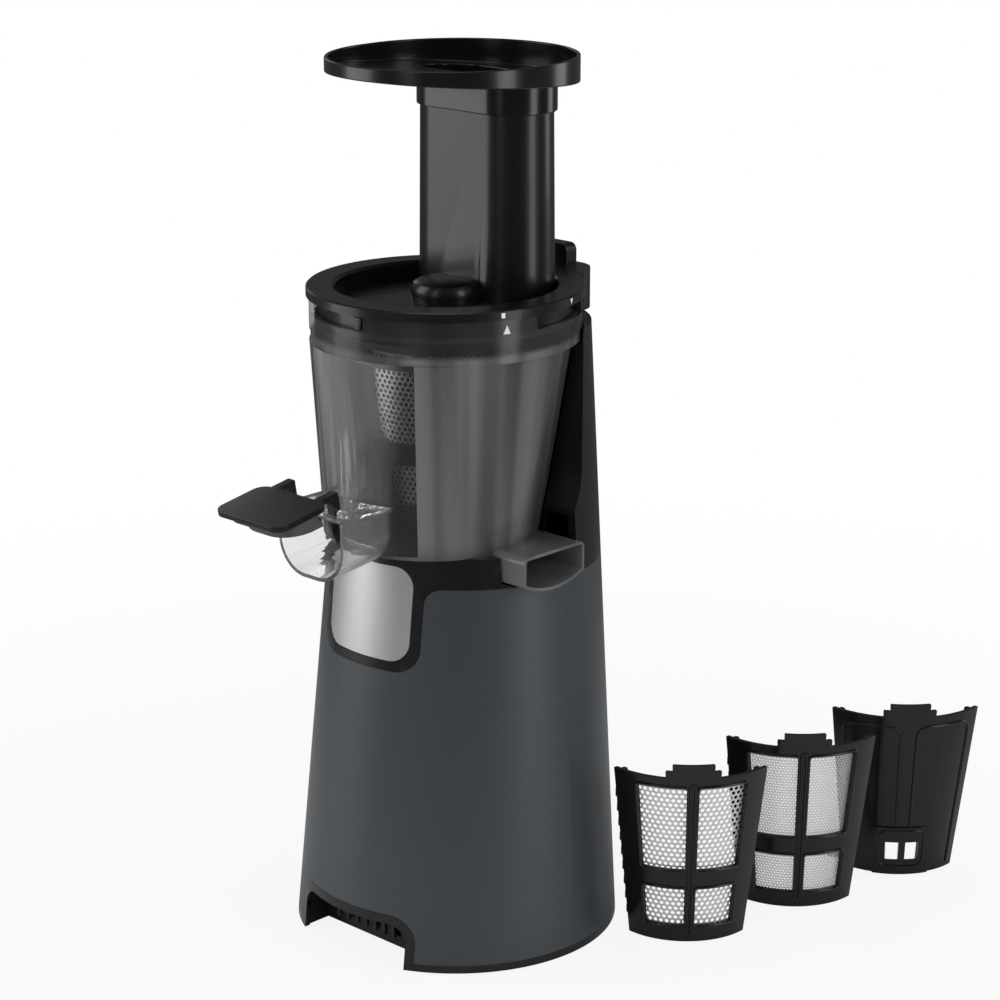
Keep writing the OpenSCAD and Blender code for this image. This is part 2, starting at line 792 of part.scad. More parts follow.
module upper_housing() {
  color("black")
    difference() {
      union() {
        difference() {
          base_cone(0, skirt_z, tower_top);
          difference() {
            translate([0, 0, skirt_z - overrun])
              cylinder(r = base_foot_r + overrun, h = wrap_top - skirt_z + overrun);
            base_cone(skirt_inset, skirt_z - 2 * overrun, wrap_top + overrun);
            to_front(cut_box / 2)
              bezel_outline(-fit_gap);
          }
          along_x(-cut_box / 2, cut_box / 2)
            sweep_outline(0);
          bowl_space(0);
          difference() {
            base_cone(skirt_inset + skirt_wall + plate_wall, skirt_z - overrun,
              tower_top - deck_wall);
            along_x(-cut_box / 2, cut_box / 2)
              sweep_outline(deck_wall);
            bowl_space(housing_wall);
          }
        }
        intersection() {
          base_cone(housing_wall, skirt_z, column_top);
          for (x = [-column_x, column_x])
            translate([x, column_y, box_top + cover_t])
              cylinder(r = boss_r, h = column_top - box_top - cover_t);
        }
        intersection() {
          base_cone(housing_wall, skirt_z, deck_z);
          union() {
            along_x(chute_x - trough_gap - trough_wall - overrun, cut_box / 2)
              pulp_section(trough_gap + trough_wall);
            spout_volume(trough_gap + trough_wall, trough_y, mouth_y, deck_z);
            translate([0, 0, deck_z - seat_depth - seat_wall])
              cylinder(r = seat_r + seat_wall, h = seat_depth + seat_wall);
            translate([0, 0, deck_z - seat_depth - seat_wall - bearing_h])
              cylinder(r = bearing_r + seat_wall, h = bearing_h + seat_wall);
          }
        }
      }
      difference() {
        to_front(cut_box / 2)
          plate_outline(fit_gap);
        base_cone(plate_wall, plate_z - 2 * overrun, plate_top + 2 * overrun);
      }
      translate([0, 0, deck_z - seat_depth])
        cylinder(r = seat_r, h = seat_depth + overrun);
      translate([0, 0, skirt_z])
        cylinder(r = shaft_r + run_gap, h = deck_z - skirt_z);
      translate([0, 0, deck_z - seat_depth - seat_wall - bearing_h - overrun])
        cylinder(r = bearing_r + fit_gap / 2, h = bearing_h + overrun);
      translate([0, 0, deck_z - seat_depth - seal_ring_h])
        cylinder(r = seal_ring_r + fit_gap / 2, h = seal_ring_h + overrun);
      along_x(chute_x - trough_gap - overrun, cut_box / 2)
        pulp_section(trough_gap);
      translate([chute_x - trough_gap, -pulp_half_w - trough_gap, pulp_side_z + edge_r])
        cube([cut_box, 2 * (pulp_half_w + trough_gap), cut_box]);
      spout_volume(trough_gap, -cut_box / 8 + overrun, -cut_box, deck_z + overrun);
      translate([0, plunger_y, micro_top])
        cylinder(r = plunger_r + fit_gap, h = tower_top - micro_top + overrun);
    }
}
bearing_r = 13;
bearing_h = 6;
seal_ring_r = 12;
seal_ring_h = 1.6;
plunger_y = 75.4;
plunger_r = 1.5;

module front_plate() {
  color("gainsboro")
    intersection() {
      difference() {
        base_cone(0, plate_z - overrun, plate_top + overrun);
        base_cone(plate_wall, plate_z - 2 * overrun, plate_top + 2 * overrun);
      }
      to_front(cut_box / 2)
        plate_outline(0);
    }
}

module switch_bezel() {
  back = base_y(switch_z) + base_r(switch_z);
  color("black")
    difference() {
      translate([0, back + rocker_proud / 2 - switch_depth / 2, switch_z])
        cube([switch_w, switch_depth, switch_h], center = true);
      translate([0, back, switch_z])
        cube([rocker_w + 2 * run_gap, 2 * rocker_well, rocker_h + 2 * run_gap], center = true);
    }
}

module rocker() {
  back = base_y(switch_z) + base_r(switch_z);
  color("black")
    translate([-rocker_w / 2, back - rocker_pivot, switch_z])
      rotate([90, 0, 90])
        linear_extrude(rocker_w)
          intersection() {
            circle(rocker_h / 2);
            translate([-rocker_h / 4, -rocker_h])
              square([rocker_h, 2 * rocker_h]);
          }
}

module cord_inlet() {
  back = base_y(inlet_z) + base_r(inlet_z);
  color("black")
    translate([0, back + rocker_proud, inlet_z])
      rotate([90, 0, 0])
        difference() {
          cylinder(r = inlet_r, h = inlet_l);
          translate([0, 0, -overrun])
            cylinder(r = cable_r, h = inlet_l + 2 * overrun);
        }
}

module control_board() {
  color("darkgreen")
    translate([-board_w / 2, board_y - board_d / 2, board_z])
      cube([board_w, board_d, board_t]);
}

module capacitor() {
  color("orange")
    translate([0, board_y, board_z + board_t])
      cylinder(r = capacitor_r, h = capacitor_h);
}

module motor_can() {
  color("silver")
    difference() {
      translate([0, 0, motor_z])
        cylinder(r = motor_r, h = motor_top - motor_z);
      translate([0, 0, motor_z + housing_wall])
        cylinder(r = motor_r - housing_wall, h = motor_top - motor_z - 2 * housing_wall);
      translate([0, 0, motor_z - overrun])
        cylinder(r = motor_shaft_r + bore_gap, h = motor_top - motor_z + 2 * overrun);
    }
}

module stator() {
  color("peru")
    ring(motor_r - housing_wall - fit_gap, rotor_r + run_gap, motor_z + housing_wall + fit_gap,
      motor_top - 3 * housing_wall);
}

module rotor() {
  color("silver") {
    translate([0, 0, motor_z + 3 * housing_wall])
      cylinder(r = rotor_r, h = motor_top - motor_z - 6 * housing_wall);
    translate([0, 0, fan_z])
      cylinder(r = motor_shaft_r, h = pinion_z + pinion_h - fan_z);
  }
}
fan_h = 8;
fan_z = motor_z - fan_h - 2;
fan_hub_r = 8;
fan_blade_t = 1.6;
fan_blades = 9;

module motor_fan() {
  color("white")
    difference() {
      union() {
        translate([0, 0, fan_z])
          cylinder(r = fan_hub_r, h = fan_h);
        translate([0, 0, fan_z])
          cylinder(r = fan_r, h = fan_blade_t);
        for (i = [0:fan_blades - 1])
          rotate(i * 360 / fan_blades)
            translate([fan_hub_r - overrun, -fan_blade_t / 2, fan_z])
              cube([fan_r - fan_hub_r, fan_blade_t, fan_h]);
      }
      translate([0, 0, fan_z - overrun])
        cylinder(r = motor_shaft_r, h = fan_h + 2 * overrun);
    }
}

module motor_bracket() {
  color("dimgray")
    ring(motor_r, motor_shaft_r + fan_hub_r, motor_top, box_z);
}

module motor_pinion() {
  color("goldenrod")
    gear(pinion_teeth, motor_shaft_r, pinion_z, pinion_h, 90);
}

module lay_shaft() {
  color("silver")
    translate([0, lay_y, box_z])
      cylinder(r = motor_shaft_r, h = box_top - box_z);
}

module first_gear() {
  color("white")
    translate([0, lay_y, 0])
      gear(wheel_teeth, motor_shaft_r, pinion_z + overrun, wheel_h, 180 / wheel_teeth);
}

module second_pinion() {
  color("goldenrod")
    translate([0, lay_y, 0])
      gear(pinion_teeth, motor_shaft_r, pinion2_z, pinion2_h, 270);
}

module output_gear() {
  color("white")
    gear(wheel_teeth, shaft_r, pinion2_z + overrun, pinion2_h - 2 * overrun, 180 / wheel_teeth);
}

module output_shaft() {
  color("silver") {
    translate([0, 0, pinion2_z])
      cylinder(r = shaft_r, h = deck_z - seat_depth / 2 - pinion2_z);
    translate([0, 0, deck_z - seat_depth / 2])
      cylinder(d = hex_d, h = hex_h, $fn = 6);
  }
}
hex_h = 34;

module box_outline(r) {
  translate([0, lay_y / 2])
    rotate(90)
      oval(lay_y / 2, r);
}

module gearbox_housing() {
  color("silver")
    difference() {
      translate([0, 0, box_z])
        linear_extrude(box_top - box_z)
          box_outline(box_r);
      translate([0, 0, box_z + box_floor])
        linear_extrude(box_top)
          box_outline(box_r - housing_wall);
      translate([0, 0, box_z - overrun])
        cylinder(r = motor_shaft_r + fan_hub_r, h = box_floor + 2 * overrun);
      translate([0, lay_y, box_z - overrun])
        cylinder(r = motor_shaft_r + bore_gap, h = box_floor + 2 * overrun);
    }
}

module gearbox_cover() {
  color("silver")
    difference() {
      union() {
        translate([0, 0, box_top])
          linear_extrude(cover_t) {
            round_rect(-cover_front_half_x, cover_y0, cover_front_half_x, cover_y1, boss_r);
            round_rect(-cover_half_x, cover_step_y, cover_half_x, cover_y1, boss_r);
          }
        for (x = [-post_x, post_x])
          translate([x, post_y, box_top])
            cylinder(r = boss_r, h = deck_z - deck_wall - box_top);
      }
      translate([0, 0, box_top - overrun])
        cylinder(r = shaft_r + bore_gap, h = cover_t + 2 * overrun);
    }
}

module upper_bearing() {
  color("silver")
    ring(bearing_r, shaft_r + bore_gap, deck_z - seat_depth - seat_wall - bearing_h + fit_gap,
      deck_z - seat_depth - seat_wall - fit_gap);
}

module shaft_seal() {
  color("dimgray")
    ring(seal_ring_r, shaft_r + bore_gap, deck_z - seat_depth - seal_ring_h + fit_gap,
      deck_z - seat_depth);
}

module safety_switch() {
  color("dimgray")
    translate([-micro_w / 2, micro_y - micro_t / 2, micro_top - micro_h])
      cube([micro_w, micro_t, micro_h]);
}
plunger_travel = 2.5;
micro_w = 14;
micro_t = 5.6;
micro_h = 12;
micro_y = 73.3;
micro_top = collar_z - housing_wall - 2 * plunger_travel;

module switch_plunger() {
  color("red")
    translate([0, plunger_y, micro_top + plunger_travel + fit_gap])
      cylinder(r = plunger_r, h = ear_z - run_gap - micro_top - plunger_travel - fit_gap);
}

module bowl_body() {
  color([0.25, 0.25, 0.27, 0.5]) {
    difference() {
      union() {
        bowl_cone(0, deck_z, collar_z);
        translate([0, 0, collar_z])
          cylinder(r = collar_r - collar_step, h = collar_step_h);
        translate([0, 0, collar_z + collar_step_h])
          cylinder(r = collar_r, h = bowl_top - collar_z - collar_step_h);
        translate([0, 0, deck_z - boss_h])
          cylinder(r = bowl_boss_r, h = boss_h + bowl_floor);
      }
      bowl_cone(bowl_wall, floor_top, collar_z);
      translate([0, 0, collar_z - bore_gap])
        cylinder(r = collar_r - collar_wall, h = bowl_top - collar_z + overrun);
      window_wedge(floor_top - overrun / 2, collar_z + bore_gap / 2);
      spout_volume(fit_gap, spout_join_y, -cut_box / 2, floor_top + overrun);
      for (i = [0:2])
        round_sector(collar_r - 2 * collar_wall, collar_r + overrun, lug_z - overrun,
          bowl_top + overrun, az(lug_az + lug_arc / 2 + overrun - slot_arc / 2) + i * 120, slot_arc);
      translate([0, 0, deck_z - boss_h - overrun])
        cylinder(r = shaft_r + overrun, h = boss_h + 2 * overrun);
      translate([0, 0, deck_z - boss_h + bowl_floor])
        cylinder(r = journal_r + bore_gap, h = boss_h + overrun);
      translate([chute_x - fit_gap, -chute_half_w - fit_gap, deck_z - overrun])
        cube([chute_l + 2 * fit_gap, 2 * (chute_half_w + fit_gap), bowl_floor + 2 * overrun]);
    }
    translate([idler_x, 0, floor_top - bore_gap])
      cylinder(r = idler_pin_r, h = bowl_gear_z + bowl_gear_h - floor_top);
  }
}

module juice_spout() {
  color([0.8, 0.85, 0.88, 0.35])
    difference() {
      union() {
        intersection() {
          difference() {
            bowl_cone(0, floor_top - overrun / 2, collar_z);
            bowl_cone(bowl_wall, floor_top - overrun, collar_z + overrun);
          }
          window_wedge(floor_top - overrun, collar_z);
        }
        difference() {
          spout_volume(0, spout_join_y - fit_gap, mouth_y, spout_top);
          bowl_cone(bowl_wall, floor_top, collar_z);
          translate([-cut_box / 2, spout_join_y - 3 * spout_wall, floor_top - fit_gap])
            cube([cut_box, cut_box, fit_gap]);
        }
        for (side = [-1, 1])
          translate([side * (spout_half_w - spout_lug_inset), hinge_y, 0])
            rotate([90, 0, 90]) {
              translate([0, hinge_z])
                cylinder(r = knuckle_r, h = spout_lug_w, center = true);
              translate([-knuckle_r, spout_top - spout_wall / 2, -spout_lug_w / 2])
                cube([2 * knuckle_r, hinge_rise + spout_wall / 2, spout_lug_w]);
            }
      }
      intersection() {
        spout_volume(-spout_wall, spout_join_y - fit_gap - spout_wall, -cut_box / 2,
          spout_top - spout_wall);
        translate([-cut_box / 2, -cut_box, 0])
          cube([cut_box, cut_box + spout_join_y - fit_gap - spout_wall, cut_box]);
      }
      intersection() {
        spout_volume(-spout_wall, spout_join_y + 10 * spout_wall, spout_join_y - 5 * spout_wall,
          spout_top - spout_wall);
        translate([-cut_box / 2, -cut_box / 2, floor_top])
          cube([cut_box, cut_box, cut_box]);
      }
      translate([-spout_half_w, hinge_y, hinge_z])
        rotate([0, 90, 0])
          cylinder(r = cap_pin_r + bore_gap, h = 2 * spout_half_w);
    }
}

module pulp_spout() {
  color([0.2, 0.2, 0.22, 0.6])
    difference() {
      along_x(chute_x - 1, pulp_reach)
        pulp_section(0);
      bowl_cone(-fit_gap, deck_z, collar_z);
      intersection() {
        along_x(chute_x - 1 + pulp_wall, pulp_reach + overrun)
          pulp_section(-pulp_wall);
        translate([0, -cut_box / 2, 0])
          cube([cut_box, cut_box, deck_z - pulp_wall]);
      }
      along_x(bowl_lower_r + overrun, pulp_reach + overrun)
        pulp_section(-pulp_wall);
      translate([chute_x + chute_wall, -chute_half_w + chute_wall, deck_z - 3 * pulp_wall])
        cube([chute_l - 2 * chute_wall, 2 * (chute_half_w - chute_wall), cut_box]);
    }
}

module bowl_seal() {
  color("dimgray")
    ring(journal_r, shaft_r + run_gap, deck_z - boss_h + bowl_floor + fit_gap,
      deck_z - boss_h + bowl_floor + bowl_seal_h);
}

module idler_gear() {
  color("black")
    translate([idler_x, 0, 0])
      gear(idler_teeth, idler_pin_r + bore_gap, bowl_gear_z, bowl_gear_h, 180 / idler_teeth);
}

// Everything on the cap is drawn shut and then swung up about its hinge
module swung_open() {
  translate([0, hinge_y, hinge_z])
    rotate([-cap_open_angle, 0, 0])
      children();
}

module spout_cap() {
  color("black")
    swung_open() {
      translate([0, -cap_face + cap_t, 0])
        to_front(cap_t)
          round_rect(-cap_w / 2, -cap_start - cap_l, cap_w / 2, -cap_start, cap_r);
      for (side = [-1, 1])
        difference() {
          translate([side * (spout_half_w - cap_arm_inset), 0, 0])
            union() {
              rotate([0, 90, 0])
                cylinder(r = knuckle_r, h = cap_arm_w, center = true);
              translate([-cap_arm_w / 2, -cap_face + cap_t / 2, -knuckle_r])
                cube([cap_arm_w, cap_face - cap_t / 2, 2 * knuckle_r]);
              translate([-cap_arm_w / 2, -cap_face, -cap_start - cap_r])
                cube([cap_arm_w, cap_t, cap_start + cap_r + knuckle_r]);
            }
          rotate([0, 90, 0])
            cylinder(r = cap_pin_r + bore_gap, h = 2 * spout_half_w, center = true);
        }
    }
}

module cap_plug() {
  lip_z = mouth_z - hinge_z;
  color("dimgray")
    swung_open() {
      translate([0, -cap_face + cap_t + fit_gap + cap_block_t - fit_gap * 2, 0])
        to_front(cap_block_t - fit_gap * 2)
          round_rect(-spout_half_w + cap_lip_gap, lip_z + cap_lip_gap, spout_half_w - cap_lip_gap,
            -cap_start - cap_t, cap_r);
      translate([0, -hinge_y, -hinge_z])
        spout_volume(-spout_wall - cap_lip_gap, mouth_y + cap_lip_in,
          mouth_y + cap_lip_in - cap_lip_t, hinge_z - cap_start - cap_t);
    }
}

module cap_pin() {
  color("silver")
    translate([0, hinge_y, hinge_z])
      rotate([0, 90, 0])
        cylinder(r = cap_pin_r, h = 2 * spout_half_w - 2, center = true);
}

module strainer_frame() {
  foot = [chute_x, -chute_half_w];
  color("black")
    difference() {
      union() {
        difference() {
          wall_sector(strainer_wall, 0, strainer_z, strainer_top, 0, 360);
          for (i = [0:2])
            wall_sector(strainer_wall + overrun, -overrun, bay_z, strainer_top + overrun,
              bay_az[i], bay_arc);
        }
        translate([0, 0, strainer_z])
          cylinder(r = strainer_r(strainer_z) - strainer_wall / 2, h = strainer_floor);
        for (a = [0, 120])
          round_sector(strainer_r(collar_z) - strainer_wall / 2, collar_r - collar_wall - overrun,
            collar_z + run_gap, collar_z + run_gap + strainer_floor, a, ear_arc);
        translate([foot[0], foot[1], deck_z])
          cube([chute_l, 2 * chute_half_w, strainer_z - deck_z + overrun]);
      }
      translate([0, 0, strainer_z - overrun])
        cylinder(r = journal_r + run_gap, h = strainer_floor + 2 * overrun);
      translate([foot[0] + chute_wall, foot[1] + chute_wall, deck_z - overrun])
        cube([chute_l - 2 * chute_wall, 2 * (chute_half_w - chute_wall), cut_box / 4]);
    }
}

// The frame of an insert in its bay: coarse and fine ones have four windows, the blank has two
module insert_frame(mid, blank) {
  span = mesh_hi - mesh_lo;
  bars = [0, bar_lo_share, bar_hi_share, 1];
  half = insert_arc / 2;
  lo = bay_z + insert_play;
  difference() {
    union() {
      difference() {
        wall_sector(insert_wall + bore_gap, bore_gap, lo, strainer_top + tab_h, mid, insert_arc);
        for (side = [-1, 1], step = [0, 1])
          wall_sector(insert_wall + overrun, -overrun, strainer_top + step * tab_h / 2,
            strainer_top + tab_h + overrun,
            mid + side * (half + flange_arc + tab_arc / 2 + (1 - step) * tab_taper) / 2,
            half + flange_arc - tab_arc / 2 - (1 - step) * tab_taper);
      }
      for (side = [-1, 1])
        wall_sector(insert_wall + insert_flange, insert_wall / 2, lo, strainer_top - overrun,
          mid + side * (half - flange_arc), flange_arc);
      wall_sector(insert_wall + rib_proud, insert_wall / 2, mesh_lo - rib_foot, mesh_hi + rib_head,
        mid, rib_arc);
      if (blank)
        wall_sector(insert_wall / 2, -box_proud, lo, mesh_lo + span * box_share, mid, box_arc);
    }
    if (!blank)
      for (side = [-1, 1], row = [0, 2])
        wall_sector(insert_wall + 2 * overrun, -2 * overrun, mesh_lo + span * bars[row],
          mesh_lo + span * bars[row + 1], mid + side * (half + rib_arc - side_arc) / 2,
          half - rib_arc - side_arc);
    if (blank)
      for (side = [-1, 1])
        wall_sector(insert_wall + 2 * overrun, -3 * overrun, mesh_lo - rib_proud,
          mesh_lo + span * outlet_share, mid + side * outlet_turn, outlet_arc);
  }
}

module insert_mesh(mid) {
  for (side = [-1, 1])
    wall_sector(insert_wall + mesh_t + 3 * bore_gap, insert_wall + 2 * bore_gap, mesh_lo - mesh_lap,
      mesh_hi + mesh_lap, mid + side * (insert_arc / 2 + rib_arc - side_arc) / 2,
      insert_arc / 2 - rib_arc - side_arc + flange_arc);
}

module insert_1() {
  color("black")
    insert_frame(bay_az[0], false);
}

module insert_2() {
  color("black")
    insert_frame(bay_az[1], false);
}

module insert_3() {
  color("black")
    insert_frame(bay_az[2], false);
}

module mesh_1() {
  color("silver")
    insert_mesh(bay_az[0]);
}

module mesh_2() {
  color("silver")
    insert_mesh(bay_az[1]);
}

module mesh_3() {
  color("silver")
    insert_mesh(bay_az[2]);
}

module auger() {
  color("dimgray")
    difference() {
      union() {
        translate([0, 0, auger_z])
          cylinder(r1 = auger_core_r, r2 = auger_neck_r, h = strainer_top - auger_z, $fn = 40);
        translate([0, 0, auger_z])
          linear_extrude(flight_top - auger_z, twist = -flight_turn, scale = flight_growth,
            slices = 40)
            for (a = [0, 180])
              rotate(a)
                translate([0, -flight_w / 2])
                  square([flight_r, flight_w]);
        translate([0, 0, strainer_top - overrun])
          cylinder(r = pin_r, h = bush_top - fit_gap - strainer_top + overrun);
        translate([0, 0, journal_z])
          cylinder(r = journal_r, h = auger_z - journal_z + overrun);
      }
      translate([0, 0, journal_z - overrun])
        cylinder(r = socket_r + bore_gap, h = socket_h + overrun);
    }
}
journal_z = deck_z - boss_h + bowl_floor + bowl_seal_h + journal_play;
socket_r = 10;
socket_h = 36;

module auger_socket() {
  color("silver")
    difference() {
      translate([0, 0, journal_z])
        cylinder(r = socket_r, h = socket_h - fit_gap);
      translate([0, 0, journal_z - overrun])
        cylinder(d = hex_d + 4 * fit_gap, h = socket_h - overrun, $fn = 6);
    }
}

module auger_gear() {
  color("black")
    gear(sun_teeth, journal_r, bowl_gear_z, bowl_gear_h, 0);
}

module wiper_frame() {
  disc_r = strainer_r(strainer_z) + wiper_gap + 0.6 * wiper_t;
  lo = bowl_gear_z + bowl_gear_h / 2;
  color("black") {
    difference() {
      translate([0, 0, bowl_gear_z])
        cylinder(r = disc_r, h = bowl_gear_h);
      translate([0, 0, bowl_gear_z - overrun])
        linear_extrude(bowl_gear_h + 2 * overrun)
          rotate(180 / ring_teeth)
            gear_outline(ring_teeth, 1.15, 0.8, -backlash);
    }
    difference() {
      wall_sector(-wiper_gap, -wiper_gap - wiper_t, lo, wiper_top, 0, 360);
      for (w = wiper_windows)
        wall_sector(-wiper_gap + overrun, -wiper_gap - wiper_t - overrun, w[2],
          wiper_top - wiper_ring_h, (w[0] + w[1]) / 2, w[1] - w[0]);
      wall_sector(-wiper_gap + overrun, -wiper_gap - wiper_t - overrun, wiper_foot_top - wiper_slot_drop,
        wiper_foot_top - wiper_slot_drop + wiper_slot_h, wiper_panel_az, wiper_slot_arc);
    }
  }
}
wiper_panel_az = -98;
wiper_panel_arc = 30;
wiper_slot_arc = 7;
wiper_arm_az = [for (s = wiper_az_share) az(360 * s)];
wiper_windows = [
  [wiper_arm_az[0] + wiper_arc / 2, wiper_arm_az[1] - wiper_arc / 2, bay_z],
  [wiper_arm_az[1] + wiper_arc / 2, wiper_panel_az + 360 - wiper_panel_arc / 2, bay_z],
  [wiper_panel_az + wiper_panel_arc / 2, wiper_arm_az[0] - wiper_arc / 2, bay_z],
  [wiper_panel_az - wiper_panel_arc * 0.7, wiper_panel_az + wiper_panel_arc * 0.7,
    wiper_foot_top]];

module wiper_blades() {
  color("silver")
    for (s = wiper_az_share)
      wall_sector(-wiper_gap - wiper_t - fit_gap, -wiper_gap - wiper_t - fit_gap - blade_t,
        strainer_z + wiper_ring_h, wiper_top - 2 * wiper_ring_h, az(360 * s), wiper_arc / 2);
}

// The feed tube's shape, grown or shrunk, drawn from two tapered ends and a tapered middle
module tube_volume(inset, lo, hi) {
  slope = (tube_top_r - tube_foot_r) / (tube_top - recess_z);
  r0 = tube_foot_r - inset + slope * (lo - recess_z);
  r1 = tube_foot_r - inset + slope * (hi - recess_z);
  translate([0, tube_y, 0]) {
    for (x = [-tube_half, tube_half])
      translate([x, 0, lo])
        cylinder(r1 = r0, r2 = r1, h = hi - lo);
    along_x(-tube_half, tube_half)
      polygon([[-r0, lo], [r0, lo], [r1, hi], [-r1, hi]]);
  }
}

module ear_outline() {
  round_rect(-ear_half_w, ear_r, ear_half_w, ear_back_y, ear_r);
}

module lid() {
  floor_z = recess_z - lid_floor_t;
  color("black")
    difference() {
      union() {
        rotate_extrude()
          polygon([
            [recess_r - lid_floor_t / 2, floor_z], [recess_r + 2, floor_z],
            [recess_r + 2, lid_z], [skirt_in_r, lid_z], [skirt_in_r, lid_skirt_z],
            [skirt_out_r, lid_skirt_z], [skirt_out_r, lid_z], [lid_r, lid_z],
            [lid_r, lid_top - edge_r / 2], [lid_r - edge_r / 2, lid_top],
            [recess_r + edge_r, lid_top], [recess_r, lid_top - edge_r],
            [recess_r, recess_z], [recess_r - lid_floor_t / 2, recess_z]]);
        rotate_extrude()
          polygon([[0, floor_z], [recess_r + overrun, floor_z], [recess_r + overrun, recess_z],
            [recess_r, recess_z], [hub_r, recess_z + lid_floor_rise], [0, recess_z
              + lid_floor_rise]]);
        rotate_extrude()
          polygon([[0, floor_z], [hub_r, floor_z], [hub_r, hub_top - 3 * edge_r],
            [hub_r - edge_r, hub_top - edge_r], [hub_r - 3 * edge_r, hub_top], [0, hub_top]]);
        tube_volume(0, recess_z - overrun, tube_top);
        for (i = [0:2])
          round_sector(skirt_out_r - overrun, collar_r - fit_gap, lug_z, lug_z + lug_h,
            az(lug_az) + i * 120, lug_arc);
        difference() {
          translate([0, 0, ear_z])
            linear_extrude(lid_top - ear_z)
              difference() {
                ear_outline();
                circle(collar_r - 2 * collar_wall);
              }
          translate([0, 0, ear_z - overrun])
            cylinder(r = collar_r + 2 * run_gap, h = lid_z - ear_z + overrun);
        }
        translate([0, ear_tab_y + ear_tab_t, 0])
          to_front(ear_tab_t)
            round_rect(-ear_tab_half_w, lid_top - 2 * ear_tab_r, ear_tab_half_w,
              lid_top + ear_tab_h, ear_tab_r);
      }
      translate([0, 0, floor_z - overrun])
        cylinder(r = bush_r, h = bush_top - floor_z + overrun);
      tube_volume(tube_wall, floor_z - overrun, tube_top + overrun);
      ring(skirt_out_r + overrun, seal_in_r - fit_gap, seal_z - fit_gap, seal_z + seal_h + fit_gap);
    }
}

module lid_bush() {
  color("silver")
    ring(bush_r, pin_r + bore_gap, recess_z - lid_floor_t, bush_top);
}

module lid_seal() {
  color("dimgray")
    ring(collar_r - collar_wall - run_gap, seal_in_r, seal_z, seal_z + seal_h);
}

module tray_outline(inset) {
  translate([0, tray_y])
    rotate(90)
      oval(tray_half, tray_r - inset);
}

// All that lies above the tray's sloping floor, raised by lift
module above_tray_floor(lift) {
  translate([0, tray_y, tray_under + lift])
    rotate([-tray_slope, 0, 0])
      translate([-cut_box / 2, -cut_box / 2, 0])
        cube([cut_box, cut_box, cut_box]);
}

module tray() {
  collar_in = tube_top_r + tray_play;
  color("black")
    difference() {
      union() {
        intersection() {
          translate([0, 0, tray_collar_z])
            linear_extrude(tray_top - tray_collar_z)
              tray_outline(0);
          above_tray_floor(0);
        }
        intersection() {
          translate([0, tube_y, tray_collar_z])
            linear_extrude(tray_top - tray_collar_z)
              oval(tube_half, collar_in + tray_collar_wall);
          difference() {
            translate([-cut_box / 2, -cut_box / 2, tray_collar_z])
              cube([cut_box, cut_box, cut_box]);
            above_tray_floor(tray_wall / 2);
          }
        }
      }
      intersection() {
        translate([0, 0, tray_collar_z])
          linear_extrude(tray_top)
            tray_outline(tray_wall);
        above_tray_floor(tray_wall);
      }
      translate([0, tube_y, tray_collar_z - overrun])
        linear_extrude(tube_top + fit_gap - tray_collar_z + overrun)
          oval(tube_half, collar_in);
      translate([0, tube_y, tray_collar_z])
        linear_extrude(tray_top)
          oval(tube_half, tray_hole_r);
    }
}

// Stands an insert on the floor, with its outer face towards the front right
module stood(i) {
  lo = bay_z + insert_play;
  translate([spare_x + i * spare_step_x - strainer_r(lo) * cos(spare_az),
    spare_y + i * spare_step_y - strainer_r(lo) * sin(spare_az), -lo])
    children();
}

module spare_coarse_insert() {
  color("black")
    stood(0)
      insert_frame(spare_az, false);
}

module spare_coarse_mesh() {
  color("silver")
    stood(0)
      insert_mesh(spare_az);
}

module spare_fine_insert() {
  color("black")
    stood(1)
      insert_frame(spare_az, false);
}

module spare_fine_mesh() {
  color("silver")
    stood(1)
      insert_mesh(spare_az);
}

module spare_blank_insert() {
  color("black")
    stood(2)
      insert_frame(spare_az, true);
}

outer_wrap();
base_ring();
base_plate();
rubber_feet();
base_screws();
upper_housing();
front_plate();
switch_bezel();
rocker();
cord_inlet();
control_board();
capacitor();
motor_can();
stator();
rotor();
motor_fan();
motor_bracket();
motor_pinion();
lay_shaft();
first_gear();
second_pinion();
output_gear();
output_shaft();
gearbox_housing();
gearbox_cover();
upper_bearing();
shaft_seal();
safety_switch();
switch_plunger();
bowl_body();
juice_spout();
pulp_spout();
bowl_seal();
idler_gear();
spout_cap();
cap_plug();
cap_pin();
strainer_frame();
insert_1();
insert_2();
insert_3();
mesh_1();
mesh_2();
mesh_3();
auger();
auger_socket();
auger_gear();
wiper_frame();
wiper_blades();
lid();
lid_bush();
lid_seal();
tray();
spare_coarse_insert();
spare_coarse_mesh();
spare_fine_insert();
spare_fine_mesh();
spare_blank_insert();
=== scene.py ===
# %% [markdown]
# # A cold press juicer, dressed for its portrait
# The solid model already has every housing, gear and shaft in its place. This lesson gives it
# the surfaces that the eye sees: brushed grey paint, black plastic, a smoky bowl, steel sheet
# with small holes, and the soft edges that moulded parts have.

# %% Load the frame
import bpy
import bmesh
import json
import math
from mathutils import Matrix, Vector

